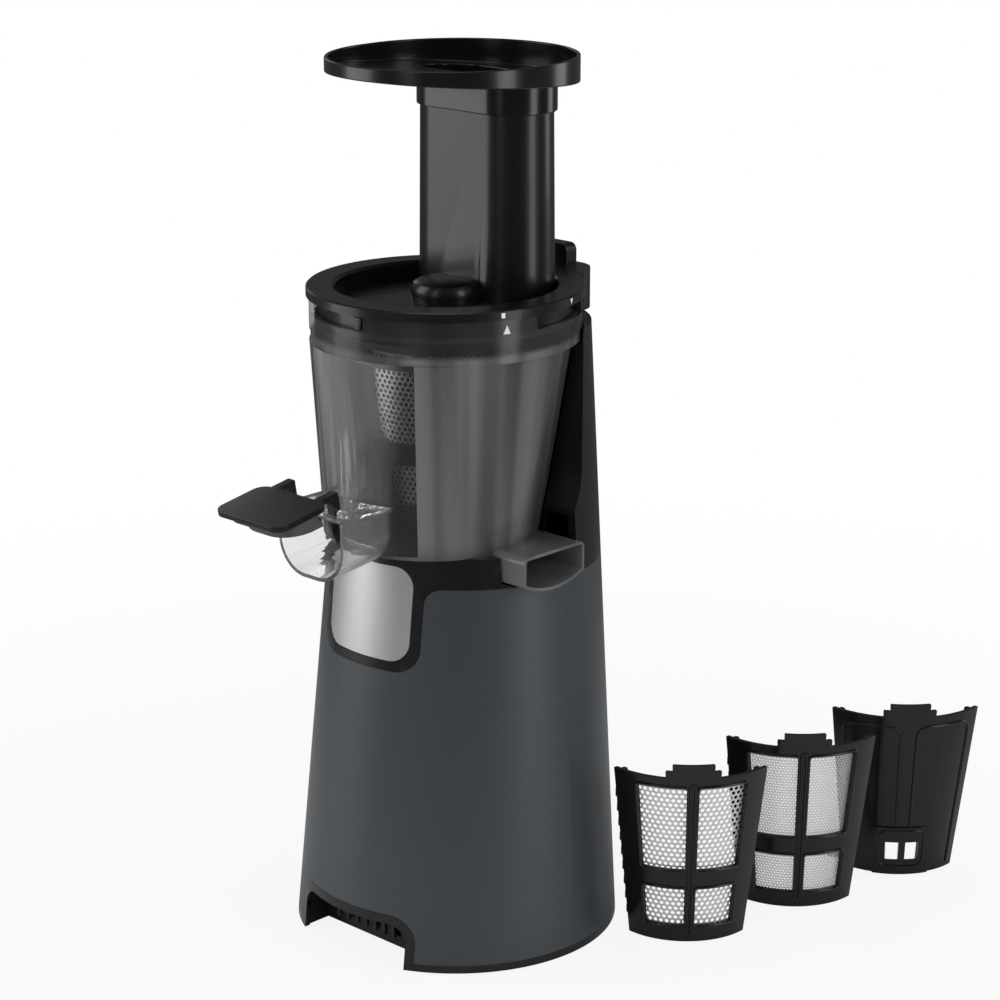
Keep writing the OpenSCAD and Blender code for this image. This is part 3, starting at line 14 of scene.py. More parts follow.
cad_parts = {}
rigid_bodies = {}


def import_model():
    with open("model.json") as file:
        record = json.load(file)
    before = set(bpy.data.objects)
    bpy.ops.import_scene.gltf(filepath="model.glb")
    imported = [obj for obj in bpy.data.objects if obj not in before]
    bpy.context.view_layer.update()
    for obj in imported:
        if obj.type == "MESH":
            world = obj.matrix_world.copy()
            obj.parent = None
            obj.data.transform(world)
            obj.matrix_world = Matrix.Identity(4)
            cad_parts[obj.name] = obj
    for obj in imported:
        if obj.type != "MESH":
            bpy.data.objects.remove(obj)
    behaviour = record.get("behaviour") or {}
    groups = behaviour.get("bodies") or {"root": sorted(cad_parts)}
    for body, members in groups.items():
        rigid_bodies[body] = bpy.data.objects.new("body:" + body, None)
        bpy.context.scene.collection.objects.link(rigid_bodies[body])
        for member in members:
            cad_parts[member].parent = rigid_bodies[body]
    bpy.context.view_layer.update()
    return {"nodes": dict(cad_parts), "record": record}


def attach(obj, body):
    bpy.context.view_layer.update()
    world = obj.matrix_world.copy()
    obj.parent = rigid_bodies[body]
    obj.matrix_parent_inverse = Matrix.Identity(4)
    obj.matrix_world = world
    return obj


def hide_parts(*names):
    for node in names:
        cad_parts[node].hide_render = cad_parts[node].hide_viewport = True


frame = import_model()
scene = bpy.context.scene
print("nodes in the frame:", len(frame["nodes"]))

# %% [markdown]
# ## Sizes that the looks share with the solid model
# The lid, the bowl and the strainer are round, so details are placed by a radius, an angle and
# a height. Writing these down once keeps every later piece on its surface. Angles called
# `azimuth` are counted from the front, towards the right. The other angles count from x to y.

# %% Measures
MM = 0.001
STRAINER_FOOT_R, STRAINER_TOP_R = 40.1 * MM, 53.5 * MM
STRAINER_FOOT, STRAINER_TOP = 230.5 * MM, 332 * MM
GROWTH = (STRAINER_TOP_R - STRAINER_FOOT_R) / (STRAINER_TOP - STRAINER_FOOT)
INSERT_WALL, INSERT_LOW = 2.4 * MM, 233.3 * MM
MESH_LOW, MESH_HIGH = 243 * MM, 326.4 * MM
BAY_MIDDLES = (-60.0, 60.0, 180.0)
LID_R, COLLAR_R = 72.5 * MM, 71 * MM
COLLAR_Z, BOWL_FOOT = 325 * MM, 206 * MM
LOOSE_TURN, LOOSE_HALF_ARC = -45.0, 49.6
LOOSE_PLACE = {"spare_coarse": (122 * MM, 60 * MM), "spare_fine": (136 * MM, 136 * MM),
               "spare_blank": (150 * MM, 212 * MM)}


def strainer_radius(z):
    return STRAINER_FOOT_R + GROWTH * (z - STRAINER_FOOT)


def around(azimuth, radius, z):
    turn = math.radians(azimuth - 90)
    return Vector((radius * math.cos(turn), radius * math.sin(turn), z))


def loose_axis(body):
    """Where the cone's axis lies for a loose insert that stands on the floor."""
    foot = strainer_radius(INSERT_LOW)
    turn = math.radians(LOOSE_TURN)
    x, y = LOOSE_PLACE[body]
    return x - foot * math.cos(turn), y - foot * math.sin(turn)


print("the strainer's radius grows per height by", round(GROWTH, 3))

# %% [markdown]
# ## Two small chores
# A shape that is drawn point by point becomes a mesh, and every new object is put into the
# scene. Each of these chores takes the same few lines every time, so they are written once.

# %% Meshes and objects
def mesh_of(name, shape):
    mesh = bpy.data.meshes.new(name)
    shape.to_mesh(mesh)
    shape.free()
    return mesh


def placed(name, data):
    made = bpy.data.objects.new(name, data)
    scene.collection.objects.link(made)
    return made


print("chores ready")

# %% [markdown]
# ## Writing finishes as sums
# A shader tree is a drawing of sums, so it reads best as sums. `Wire` holds one socket and
# overloads the arithmetic signs, so that each sign adds a Math node.

# %% The Wire class
class Wire:
    """One output of a node in a finish."""

    def __init__(self, finish, socket):
        self.finish = finish
        self.socket = socket

    def math(self, operation, other):
        return self.finish.math(operation, self, other)

    def __add__(self, other):
        return self.math("ADD", other)

    def __sub__(self, other):
        return self.math("SUBTRACT", other)

    def __rsub__(self, other):
        return self.finish.math("SUBTRACT", other, self)

    def __mul__(self, other):
        return self.math("MULTIPLY", other)

    __radd__ = __add__
    __rmul__ = __mul__


print("wires can be added, subtracted and multiplied")

# %% [markdown]
# ## One class for every material
# `Finish` makes a material around Blender's Principled shader. Constants go straight onto the
# shader's own sockets when it is made. `node` adds any node, and the methods after it are short
# names for the nodes that this lesson uses most.

# %% The Finish class
# Places of the Mix node's sockets when it mixes colours
MIX_SHARE, MIX_FIRST, MIX_SECOND, MIX_COLOUR = 0, 6, 7, 2


class Finish:
    def __init__(self, name, **constants):
        self.material = bpy.data.materials.new(name)
        self.material.use_nodes = True
        self.tree = self.material.node_tree
        self.shader = self.tree.nodes["Principled BSDF"]
        self.shade(**constants)

    def feed(self, socket, value):
        if isinstance(value, Wire):
            self.tree.links.new(value.socket, socket)
        else:
            socket.default_value = value

    def shade(self, **values):
        for socket, value in values.items():
            self.feed(self.shader.inputs[socket.replace("_", " ")], value)
        return self.material

    def node(self, kind, settings=None, inputs=None, output=0):
        made = self.tree.nodes.new("ShaderNode" + kind)
        for name, value in (settings or {}).items():
            setattr(made, name, value)
        for name, value in (inputs or {}).items():
            self.feed(made.inputs[name], value)
        return Wire(self, made.outputs[output])

    def math(self, operation, first, second):
        return self.node("Math", {"operation": operation}, {0: first, 1: second})

    def place(self, scale=(1, 1, 1)):
        coordinates = self.node("TexCoord", output="Object")
        return self.node("Mapping", None, {"Vector": coordinates, "Scale": scale})

    def axes(self):
        """Wires for x, y and z of the object's own coordinates."""
        first = self.node("SeparateXYZ", None, {0: self.node("TexCoord", output="Object")})
        return [Wire(self, socket) for socket in first.socket.node.outputs]

    def noise(self, scale, vector, detail=3.0, rough=0.5):
        return self.node("TexNoise", None, {"Vector": vector, "Scale": scale, "Detail": detail,
                                            "Roughness": rough})

    def ramp(self, value, start, end, low=0.0, high=1.0):
        """Goes softly from low to high while the value goes from start to end."""
        return self.node("MapRange", {"interpolation_type": "SMOOTHSTEP"}, {
            "Value": value, "From Min": start, "From Max": end, "To Min": low, "To Max": high})

    def blend(self, share, first, second):
        return self.node("Mix", {"data_type": "RGBA"}, {
            MIX_SHARE: share, MIX_FIRST: first, MIX_SECOND: second}, MIX_COLOUR)

    def bump(self, height, strength, distance):
        return self.node("Bump", None, {"Height": height, "Strength": strength,
                                        "Distance": distance})


print("helpers for finishes are ready")

# %% [markdown]
# ## The grey wrap
# The real sleeve is painted metal with a fine grain that runs round the body, so a highlight
# breaks into hair-thin lines. Noise squeezed hard along the height gives exactly such lines,
# with no seam, because it is read from the object's own coordinates.

# %% Brushed grey paint
def brushed_paint():
    finish = Finish("brushed_grey_paint", Metallic=0.55, Coat_Weight=0.12, Coat_Roughness=0.25)
    lines = finish.noise(1.0, finish.place((18, 18, 2600)), detail=4.0, rough=0.65)
    cloud = finish.noise(9.0, finish.place(), detail=2.0)
    dark, pale = (0.045, 0.053, 0.060, 1), (0.078, 0.089, 0.098, 1)
    return finish.shade(Base_Color=finish.blend(lines * 0.75 + cloud * 0.25, dark, pale),
                        Roughness=0.40 + 0.16 * lines,
                        Normal=finish.bump(lines, strength=0.10, distance=0.4 * MM))


GREY_PAINT = brushed_paint()
print(GREY_PAINT.name, "made")

# %% [markdown]
# ## Black plastics
# The lid, the feed tube and the housing have one black. The tray, the cap and the inserts have
# another that shines a little more, and a third for the auger and the base plate is dull. Real
# moulded plastic is never one value, so a large slow noise varies the roughness and a tiny one
# gives the skin some texture.

# %% Three blacks
def black_plastic(name, dark, pale, roughness, spread, grain, coat):
    finish = Finish(name, Coat_Weight=coat, Coat_Roughness=0.05, Specular_IOR_Level=0.4)
    cloud = finish.noise(14.0, finish.place(), detail=3.0)
    skin = finish.noise(1500.0, finish.place(), detail=2.0)
    colour = finish.blend(cloud, (dark, dark, dark * 1.04, 1), (pale, pale, pale * 1.06, 1))
    return finish.shade(Base_Color=colour, Roughness=roughness + spread * cloud,
                        Normal=finish.bump(skin, strength=grain, distance=0.2 * MM))


GLOSS_BLACK = black_plastic("gloss_black", dark=0.003, pale=0.005, roughness=0.27, spread=0.10,
                            grain=0.01, coat=0.12)
SATIN_BLACK = black_plastic("satin_black", dark=0.003, pale=0.006, roughness=0.19, spread=0.09,
                            grain=0.02, coat=0.1)
MATT_BLACK = black_plastic("matt_black", dark=0.007, pale=0.012, roughness=0.46, spread=0.14,
                           grain=0.05, coat=0.0)
print("blacks made")

# %% [markdown]
# ## Steel, brushed and plain
# The front plate is stainless steel brushed across, the strainer's sheet is rolled steel, and
# small fittings are turned. They differ in the direction of their grain and in roughness.

# %% Steels
def steel(name, stretch, pale, roughness, spread, grain, metallic=1.0):
    finish = Finish(name, Metallic=metallic)
    lines = finish.noise(1.0, finish.place(stretch), detail=4.0, rough=0.6)
    colour = finish.blend(lines, (pale * 0.86, pale * 0.86, pale * 0.85, 1),
                          (pale, pale * 0.995, pale * 0.98, 1))
    return finish.shade(Base_Color=colour, Roughness=roughness + spread * lines,
                        Normal=finish.bump(lines, strength=grain, distance=0.3 * MM))


BRUSHED_STEEL = steel("brushed_plate_steel", (60, 60, 3200), pale=0.60, roughness=0.36,
                      spread=0.14, grain=0.10)
SHEET_STEEL = steel("strainer_steel", (400, 400, 400), pale=0.78, roughness=0.30,
                    spread=0.12, grain=0.05, metallic=0.6)
TURNED_STEEL = steel("turned_steel", (300, 300, 2500), pale=0.55, roughness=0.22,
                     spread=0.18, grain=0.05)
CAST_ALLOY = steel("cast_alloy", (260, 260, 260), pale=0.42, roughness=0.48,
                   spread=0.2, grain=0.30)
GEAR_STEEL = steel("gear_steel", (900, 900, 60), pale=0.38, roughness=0.30,
                   spread=0.2, grain=0.08)
print("steels made")

# %% [markdown]
# ## Smoky plastic
# The bowl is tinted. A wall looks thicker where it turns away from the eye, so the facing angle
# of Layer Weight raises the alpha towards the edges. The strainer stays dimly visible through
# the middle of the bowl, while the bowl's outline is dark. Black pieces lie behind its foot and
# its collar. Both bands get painted shade, a darker colour, and the collar is also made clearer
# to see through. Soft upright streaks of paler colour are painted highlights for the long
# reflections of the soft boxes.

# %% Smoky plastic
TURN_SCALE, HEIGHT_SCALE = 3.2, 1.6
# Where the painted highlight streaks begin to pale and where they are palest
STREAK_DARK, STREAK_PALE = 0.36, 0.66
# How dark the thick edges and the painted shade get, and how much clearer the collar becomes
DEEP_SHARE, COLLAR_SHARE = 0.30, 0.42


def smoky_plastic(name, dark, pale, centre, edge, roughness, painted_shade_and_clearing=0.0):
    """Tinted plastic with paler upright streaks, painted highlights for the soft boxes'
    reflections.
    """
    finish = Finish(name, Coat_Weight=0.3, Coat_Roughness=0.16, IOR=1.5)
    facing = finish.node("LayerWeight", None, {"Blend": 0.35}, output="Facing")
    across, along, height = finish.axes()
    turn = across.math("ARCTAN2", along)
    unrolled = finish.node("CombineXYZ", None, {
        "X": turn * TURN_SCALE, "Y": height * HEIGHT_SCALE, "Z": 0.0})
    # Painted highlight: paler upright streaks that stand for the long reflections of the soft
    # boxes
    painted_highlight_streaks = finish.noise(1.0, unrolled, detail=2.0)
    # Painted shade: the colour darkens towards the bowl's foot and its collar
    foot = finish.ramp(height, BOWL_FOOT + 30 * MM, BOWL_FOOT + 4 * MM)
    collar = finish.ramp(height, COLLAR_Z + 2 * MM, COLLAR_Z + 6 * MM)
    body = finish.blend(finish.ramp(painted_highlight_streaks, STREAK_DARK, STREAK_PALE), dark, pale)
    deep = tuple(share * DEEP_SHARE for share in dark[:3]) + (1,)
    edge_and_painted_shade = facing.math("MAXIMUM", foot.math("MAXIMUM", collar) * painted_shade_and_clearing)
    alpha = centre + (edge - centre) * facing - painted_shade_and_clearing * COLLAR_SHARE * collar
    return finish.shade(Base_Color=finish.blend(edge_and_painted_shade, body, deep), Roughness=roughness,
                        Alpha=alpha)


# Both plastics carry the painted highlight streaks; only the bowl gets painted shade at its
# foot and collar
SMOKY = smoky_plastic("smoky_plastic", (0.064, 0.064, 0.066, 1), (0.200, 0.200, 0.204, 1),
                      centre=0.76, edge=0.97, roughness=0.24, painted_shade_and_clearing=0.85)
SMOKY_DUCT = smoky_plastic("smoky_duct_plastic", (0.16, 0.16, 0.162, 1),
                           (0.27, 0.27, 0.274, 1), centre=0.52, edge=0.94, roughness=0.12)
print("smoky plastics made")

# %% [markdown]
# ## Clear plastic
# The bowl's window and the juice spout are one moulded piece. Light goes through its solid
# walls and bends there, which darkens the edges without any drawing of edges. The window is
# tinted and the spout in front of it is bright, so the colour changes where the spout begins.

# %% Clear plastic
WINDOW_END_Y, SPOUT_START_Y = -62 * MM, -68 * MM


def clear_plastic(name, smoky, clear):
    finish = Finish(name, Transmission_Weight=0.94, IOR=1.37)
    _, along, _ = finish.axes()
    spout = finish.ramp(along, WINDOW_END_Y, SPOUT_START_Y)
    cloud = finish.noise(25.0, finish.place(), detail=2.0)
    return finish.shade(Base_Color=finish.blend(spout, smoky, clear),
                        Roughness=0.06 - 0.03 * spout + 0.02 * cloud)


CLEAR = clear_plastic("clear_plastic", (0.22, 0.22, 0.224, 1), (0.93, 0.94, 0.95, 1))
print(CLEAR.name, "made")

# %% [markdown]
# ## Rubber, copper and the inner plastics
# The pieces inside are seen only when something is lifted away, but each still has a finish
# that such pieces usually have: black rubber, varnished copper, white gear plastic and the
# green lacquer of a circuit board.

# %% Inner finishes
def plain(name, colour, roughness, scale=60.0, metallic=0.0, grain=0.1):
    finish = Finish(name, Metallic=metallic)
    cloud = finish.noise(scale, finish.place(), detail=3.0)
    pale = tuple(min(1.0, share * 1.25 + 0.004) for share in colour)
    return finish.shade(Base_Color=finish.blend(cloud, colour + (1,), pale + (1,)),
                        Roughness=roughness + 0.12 * cloud,
                        Normal=finish.bump(cloud, strength=grain, distance=0.3 * MM))


RUBBER = plain("black_rubber", (0.016, 0.016, 0.017), 0.62, scale=300.0)
GREY_RUBBER = plain("grey_silicone", (0.05, 0.05, 0.052), 0.5, scale=200.0)
COPPER = plain("varnished_copper", (0.42, 0.16, 0.06), 0.34, scale=500.0, metallic=0.8,
               grain=0.4)
GEAR_WHITE = plain("gear_plastic", (0.62, 0.60, 0.54), 0.42)
MOTOR_STEEL = plain("motor_paint", (0.16, 0.165, 0.17), 0.4, scale=90.0, metallic=0.6)
BOARD_GREEN = plain("circuit_board", (0.012, 0.09, 0.035), 0.35, scale=700.0)
FILM_ORANGE = plain("capacitor_lacquer", (0.42, 0.15, 0.02), 0.3)
PRINT_WHITE = plain("printed_mark", (0.72, 0.72, 0.72), 0.5)
print("inner finishes made")

# %% [markdown]
# ## Giving the solid pieces their finishes
# Each node of the solid model gets one finish in all its material slots. Pieces whose shape is
# already right need no more than that.

# %% Assign finishes to nodes
FINISHES = (
    (GREY_PAINT, "outer_wrap"),
    (GLOSS_BLACK, "upper_housing lid"),
    (SATIN_BLACK, "base_ring switch_bezel rocker spout_cap tray wiper_frame strainer_frame "
                  "insert_1 insert_2 insert_3 spare_coarse_insert spare_fine_insert "
                  "spare_blank_insert"),
    (MATT_BLACK, "base_plate safety_switch switch_plunger auger auger_gear"),
    (BRUSHED_STEEL, "front_plate"),
    (SHEET_STEEL, "mesh_1 mesh_2 mesh_3 spare_coarse_mesh spare_fine_mesh"),
    (TURNED_STEEL, "base_screws lay_shaft output_shaft upper_bearing cap_pin auger_socket "
                   "lid_bush"),
    (CAST_ALLOY, "motor_bracket gearbox_housing gearbox_cover"),
    (GEAR_STEEL, "rotor motor_pinion second_pinion output_gear"),
    (SMOKY, "bowl_body"), (SMOKY_DUCT, "pulp_spout"), (CLEAR, "juice_spout"),
    (RUBBER, "rubber_feet cord_inlet shaft_seal bowl_seal"),
    (GREY_RUBBER, "cap_plug wiper_blades lid_seal"),
    (COPPER, "stator"), (MOTOR_STEEL, "motor_can"),
    (GEAR_WHITE, "motor_fan first_gear idler_gear"),
    (BOARD_GREEN, "control_board"), (FILM_ORANGE, "capacitor"),
)
FINISH_OF = {node: finish for finish, nodes in FINISHES for node in nodes.split()}
BODY_OF = {node: body for body, nodes in frame["record"]["behaviour"]["bodies"].items()
           for node in nodes}
for node, finish in FINISH_OF.items():
    for slot in frame["nodes"][node].material_slots:
        slot.material = finish
print("finished nodes:", len(FINISH_OF), "of", len(frame["nodes"]))

# %% [markdown]
# ## Soft edges for the moulded pieces
# A moulded part has no knife edges: each one is rounded by a few tenths of a millimetre, and
# that little curve is what catches a highlight. A copy of the solid's mesh is
# cleaned, so that flat faces are whole again, and a bevel by angle rounds only its true edges.
# The faces are shaded before the bevel, which keeps cones free of streaks.

# %% The softening helper
WELD, FLAT_ANGLE, EDGE_ANGLE, EDGE_STEPS = 0.002 * MM, 1.5, 30, 3


def finished_piece(name, mesh, body, material, stands_for=()):
    """Puts a mesh into the scene, on the body that it moves with."""
    piece = placed(name, mesh)
    mesh.materials.clear()
    mesh.materials.append(material)
    if stands_for:
        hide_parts(*stands_for)
    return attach(piece, body)


def baked(source):
    """The mesh that an object's modifiers make, with the object itself removed."""
    graph = bpy.context.evaluated_depsgraph_get()
    mesh = bpy.data.meshes.new_from_object(source.evaluated_get(graph))
    bpy.data.objects.remove(source)
    return mesh


def shade_by_angle(mesh, angle):
    mesh.polygons.foreach_set("use_smooth", [True] * len(mesh.polygons))
    mesh.set_sharp_from_angle(angle=math.radians(angle))


def softened(node, width):
    mesh = frame["nodes"][node].data.copy()
    shape = bmesh.new()
    shape.from_mesh(mesh)
    bmesh.ops.remove_doubles(shape, verts=shape.verts, dist=WELD)
    bmesh.ops.dissolve_limit(shape, angle_limit=math.radians(FLAT_ANGLE), verts=shape.verts,
                             edges=shape.edges, delimit={"NORMAL"})
    shape.to_mesh(mesh)
    shape.free()
    shade_by_angle(mesh, EDGE_ANGLE)
    draft = placed("draft", mesh)
    bevel = draft.modifiers.new("round", "BEVEL")
    bevel.width = width
    bevel.segments = EDGE_STEPS
    bevel.limit_method = "ANGLE"
    bevel.angle_limit = math.radians(EDGE_ANGLE)
    bevel.use_clamp_overlap = True
    bevel.harden_normals = True
    return finished_piece("soft_" + node, baked(draft), BODY_OF[node], FINISH_OF[node],
                          stands_for=(node,))


print("softening helper ready")

# %% [markdown]
# ## One tile of punched steel
# The strainer's sheet is punched with staggered holes, so it can be made of six-sided tiles
# with a hole in each. The coarse tile has twelve points: its six corners and the middles of its
# six sides. The fine tile keeps only the six middles, which halves its faces. Its points meet
# those of its neighbours, and three-cornered gaps, nearly a millimetre wide, stay open between
# the tiles.

# %% One tile of the sheet
SHEET_THICK = 0.5 * MM
COARSE_PITCH, FINE_PITCH = 3.15 * MM, 1.9 * MM


def hole_cell(name, pitch, hole, sides):
    """A flat tile with a hole: its two faces and the hole's wall. Its rim has no wall, so that
    coarse tiles join into one sheet there."""
    shape = bmesh.new()
    rings = []
    for at_hole, depth in ((False, 0), (True, 0), (True, 1), (False, 1)):
        ring = []
        for i in range(sides):
            turn = 2 * math.pi * i / sides
            from_flat = (turn + math.pi / 6) % (math.pi / 3) - math.pi / 6
            radius = hole if at_hole else pitch / 2 / math.cos(from_flat)
            ring.append(shape.verts.new((radius * math.cos(turn), radius * math.sin(turn),
                                         -depth * SHEET_THICK)))
        rings.append(ring)
    for first, second in zip(rings, rings[1:]):
        for i in range(sides):
            j = (i + 1) % sides
            shape.faces.new((first[i], first[j], second[j], second[i]))
    bmesh.ops.recalc_face_normals(shape, faces=shape.faces)
    return placed(name, mesh_of(name, shape))


coarse_cell = hole_cell("coarse_cell", COARSE_PITCH, hole=1.12 * MM, sides=12)
fine_cell = hole_cell("fine_cell", FINE_PITCH, hole=0.62 * MM, sides=6)
print("cell faces:", len(coarse_cell.data.polygons), len(fine_cell.data.polygons))

# %% [markdown]
# ## Writing Geometry Nodes as sums
# What repeats is laid out by Geometry Nodes. `Graph` does for such a tree what `Finish` does
# for a material. Its inputs have names, so one tree can be run again with other values.

# %% A small helper for Geometry Nodes
class Graph:
    def __init__(self, name, inputs):
        self.tree = bpy.data.node_groups.new(name, "GeometryNodeTree")
        for way in ("INPUT", "OUTPUT"):
            self.tree.interface.new_socket("Geometry", in_out=way,
                                           socket_type="NodeSocketGeometry")
        self.ids = {}
        for label, kind in inputs.items():
            item = self.tree.interface.new_socket(label, in_out="INPUT",
                                                  socket_type="NodeSocket" + kind)
            self.ids[label] = item.identifier
        self.start = self.tree.nodes.new("NodeGroupInput")
        self.end = self.tree.nodes.new("NodeGroupOutput")

    def feed(self, socket, value):
        if hasattr(value, "links"):
            self.tree.links.new(value, socket)
        else:
            socket.default_value = value

    def add(self, kind, settings=None, inputs=None, output=0):
        made = self.tree.nodes.new(kind)
        for name, value in (settings or {}).items():
            setattr(made, name, value)
        for name, value in (inputs or {}).items():
            self.feed(made.inputs[name], value)
        return made.outputs[output]

    def math(self, operation, first, second=0.0):
        return self.add("ShaderNodeMath", {"operation": operation}, {0: first, 1: second})

    def axes(self):
        """The x, y and z of each point's place."""
        spot = self.add("GeometryNodeInputPosition")
        return self.add("ShaderNodeSeparateXYZ", None, {0: spot}).node.outputs

    def given(self, label):
        return self.start.outputs[label]

    def coated(self, geometry):
        """Ends the tree: the geometry gets the finish that the run names."""
        coat = self.add("GeometryNodeSetMaterial", None, {
            "Geometry": geometry, "Material": self.given("Finish")})
        self.tree.links.new(coat, self.end.inputs["Geometry"])
        return self

    def run(self, values, material):
        """Runs the tree on an empty object and returns the mesh that it makes."""
        host = placed("host", bpy.data.meshes.new("host"))
        modifier = host.modifiers.new("rule", "NODES")
        modifier.node_group = self.tree
        for label, value in dict(values, Finish=material).items():
            modifier[self.ids[label]] = value
        host.update_tag()
        bpy.context.view_layer.update()
        return baked(host)


print("graph helper ready")

# %% [markdown]
# ## Laying the tiles and rolling the sheet
# A grid of points, with every other row shifted by half a step, gives each tile its place on a
# flat sheet. The tiles are joined, and then the whole sheet is rolled onto the strainer's cone:
# the distance across becomes an angle, and the radius grows with the height. A real sheet is
# punched flat and rolled in the same order.

# %% The tree that rolls a sheet of cells
ROW_SHARE = math.sqrt(3) / 2
JOIN = 0.01 * MM


def sheet_graph():
    g = Graph("punched_sheet", {
        "Cell": "Object", "Columns": "Int", "Rows": "Int", "Pitch": "Float", "Lowest": "Float",
        "Middle": "Float", "Foot radius": "Float", "Foot height": "Float", "Growth": "Float",
        "Finish": "Material"})
    pitch = g.given("Pitch")
    step = g.math("MULTIPLY", pitch, ROW_SHARE)
    wide = g.math("MULTIPLY", pitch, g.math("SUBTRACT", g.given("Columns"), 1.0))
    high = g.math("MULTIPLY", step, g.math("SUBTRACT", g.given("Rows"), 1.0))
    grid = g.add("GeometryNodeMeshGrid", None, {
        "Size X": wide, "Size Y": high, "Vertices X": g.given("Columns"),
        "Vertices Y": g.given("Rows")})
    x, y, _ = g.axes()
    up = g.math("ADD", y, g.math("MULTIPLY", high, 0.5))
    odd = g.math("MODULO", g.math("ROUND", g.math("DIVIDE", up, step)), 2.0)
    shift = g.math("MULTIPLY", g.math("SUBTRACT", odd, 0.5), g.math("MULTIPLY", pitch, 0.5))
    staggered = g.add("ShaderNodeCombineXYZ", None, {
        "X": g.math("ADD", x, shift), "Y": up, "Z": 0.0})
    laid = g.add("GeometryNodeSetPosition", None, {"Geometry": grid, "Position": staggered})
    points = g.add("GeometryNodeMeshToPoints", None, {"Mesh": laid})
    cell = g.add("GeometryNodeObjectInfo", None, {"Object": g.given("Cell")}, "Geometry")
    tiled = g.add("GeometryNodeInstanceOnPoints", None, {"Points": points, "Instance": cell})
    real = g.add("GeometryNodeRealizeInstances", None, {"Geometry": tiled})
    joined = g.add("GeometryNodeMergeByDistance", None, {"Geometry": real, "Distance": JOIN})
    x, y, z = g.axes()
    height = g.math("ADD", y, g.given("Lowest"))
    climb = g.math("MULTIPLY", g.math("SUBTRACT", height, g.given("Foot height")),
                   g.given("Growth"))
    wall = g.math("ADD", g.given("Foot radius"), climb)
    turn = g.math("ADD", g.given("Middle"), g.math("DIVIDE", x, wall))
    reach = g.math("ADD", wall, z)
    rolled = g.add("ShaderNodeCombineXYZ", None, {
        "X": g.math("MULTIPLY", reach, g.math("COSINE", turn)),
        "Y": g.math("MULTIPLY", reach, g.math("SINE", turn)), "Z": height})
    return g.coated(g.add("GeometryNodeSetPosition", None, {
        "Geometry": joined, "Position": rolled}))


SHEET = sheet_graph()
print("sheet rule ready, nodes:", len(SHEET.tree.nodes))

# %% [markdown]
# ## Five sheets from one rule
# Three inserts sit in the strainer's bays with coarse sheets. Two loose ones, coarse and fine,
# stand on the floor beside the machine, so their sheets are rolled at the strainer and then
# moved to where the insert stands.

# %% Sheets for the strainer and the loose inserts
SHEET_WIDE, SHEET_SPARE, SHEET_GAP = 60 * MM, 1.5 * MM, 0.1 * MM


def punched_sheet(middle, pitch, cell):
    rows = int((MESH_HIGH - MESH_LOW + 2 * SHEET_SPARE) / (pitch * ROW_SHARE)) + 1
    return SHEET.run({
        "Cell": cell, "Columns": int(SHEET_WIDE / pitch), "Rows": rows, "Pitch": pitch,
        "Lowest": MESH_LOW - SHEET_SPARE, "Middle": math.radians(middle),
        "Foot radius": STRAINER_FOOT_R - INSERT_WALL - SHEET_GAP,
        "Foot height": STRAINER_FOOT, "Growth": GROWTH}, SHEET_STEEL)


for number, middle in enumerate(BAY_MIDDLES, 1):
    finished_piece(f"punched_mesh_{number}", punched_sheet(middle, COARSE_PITCH, coarse_cell),
                   "bowl", SHEET_STEEL, (f"mesh_{number}",))
for body, pitch, cell in (("spare_coarse", COARSE_PITCH, coarse_cell),
                          ("spare_fine", FINE_PITCH, fine_cell)):
    sheet = punched_sheet(LOOSE_TURN, pitch, cell)
    sheet.transform(Matrix.Translation((*loose_axis(body), -INSERT_LOW)))
    finished_piece(f"punched_{body}_mesh", sheet, body, SHEET_STEEL,
                   (f"{body}_mesh",))
for cell in (coarse_cell, fine_cell):
    bpy.data.objects.remove(cell)

# %% [markdown]
# ## Rounding the moulded pieces
# Each width, in millimetres, follows how the real part is moulded: the cap's and the tray's
# edges are generous, the housing and the lid are tighter, and the inserts are fine.

# %% Soften the visible solids
for node, width in (("tray", 0.7), ("lid", 0.6), ("spout_cap", 0.8), ("cap_plug", 0.6),
                    ("upper_housing", 0.5), ("base_ring", 0.5), ("switch_bezel", 0.6),
                    ("rocker", 0.6), ("strainer_frame", 0.3), ("insert_1", 0.3),
                    ("insert_2", 0.3), ("insert_3", 0.3), ("spare_coarse_insert", 0.35),
                    ("spare_fine_insert", 0.35), ("spare_blank_insert", 0.35),
                    ("front_plate", 0.3), ("juice_spout", 0.5), ("pulp_spout", 0.5)):
    piece = softened(node, width * MM)
    print(piece.name, "triangles:", sum(len(p.vertices) - 2 for p in piece.data.polygons))

# %% [markdown]
# ## The printed marks
# A large triangle on the bowl's collar is the pointer. The lid carries a square and a small
# triangle, and each of them is close above the pointer at one end of the lid's turn. They are
# pad-printed, so each is a thin raised patch that follows the round wall under it.

# %% Printed marks
MARK_SUNK, MARK_PROUD = -0.2 * MM, 0.06 * MM
BOWL_MARK_Z, LID_MARK_Z = 342.6 * MM, 350.3 * MM
UP = [(-2.0, -2.2), (2.0, -2.2), (0.0, 2.2)]
DOWN = [(-1.3, 1.4), (0.0, -1.4), (1.3, 1.4)]
SQUARE = [(-1.0, -1.3), (1.0, -1.3), (1.0, 1.3), (-1.0, 1.3)]


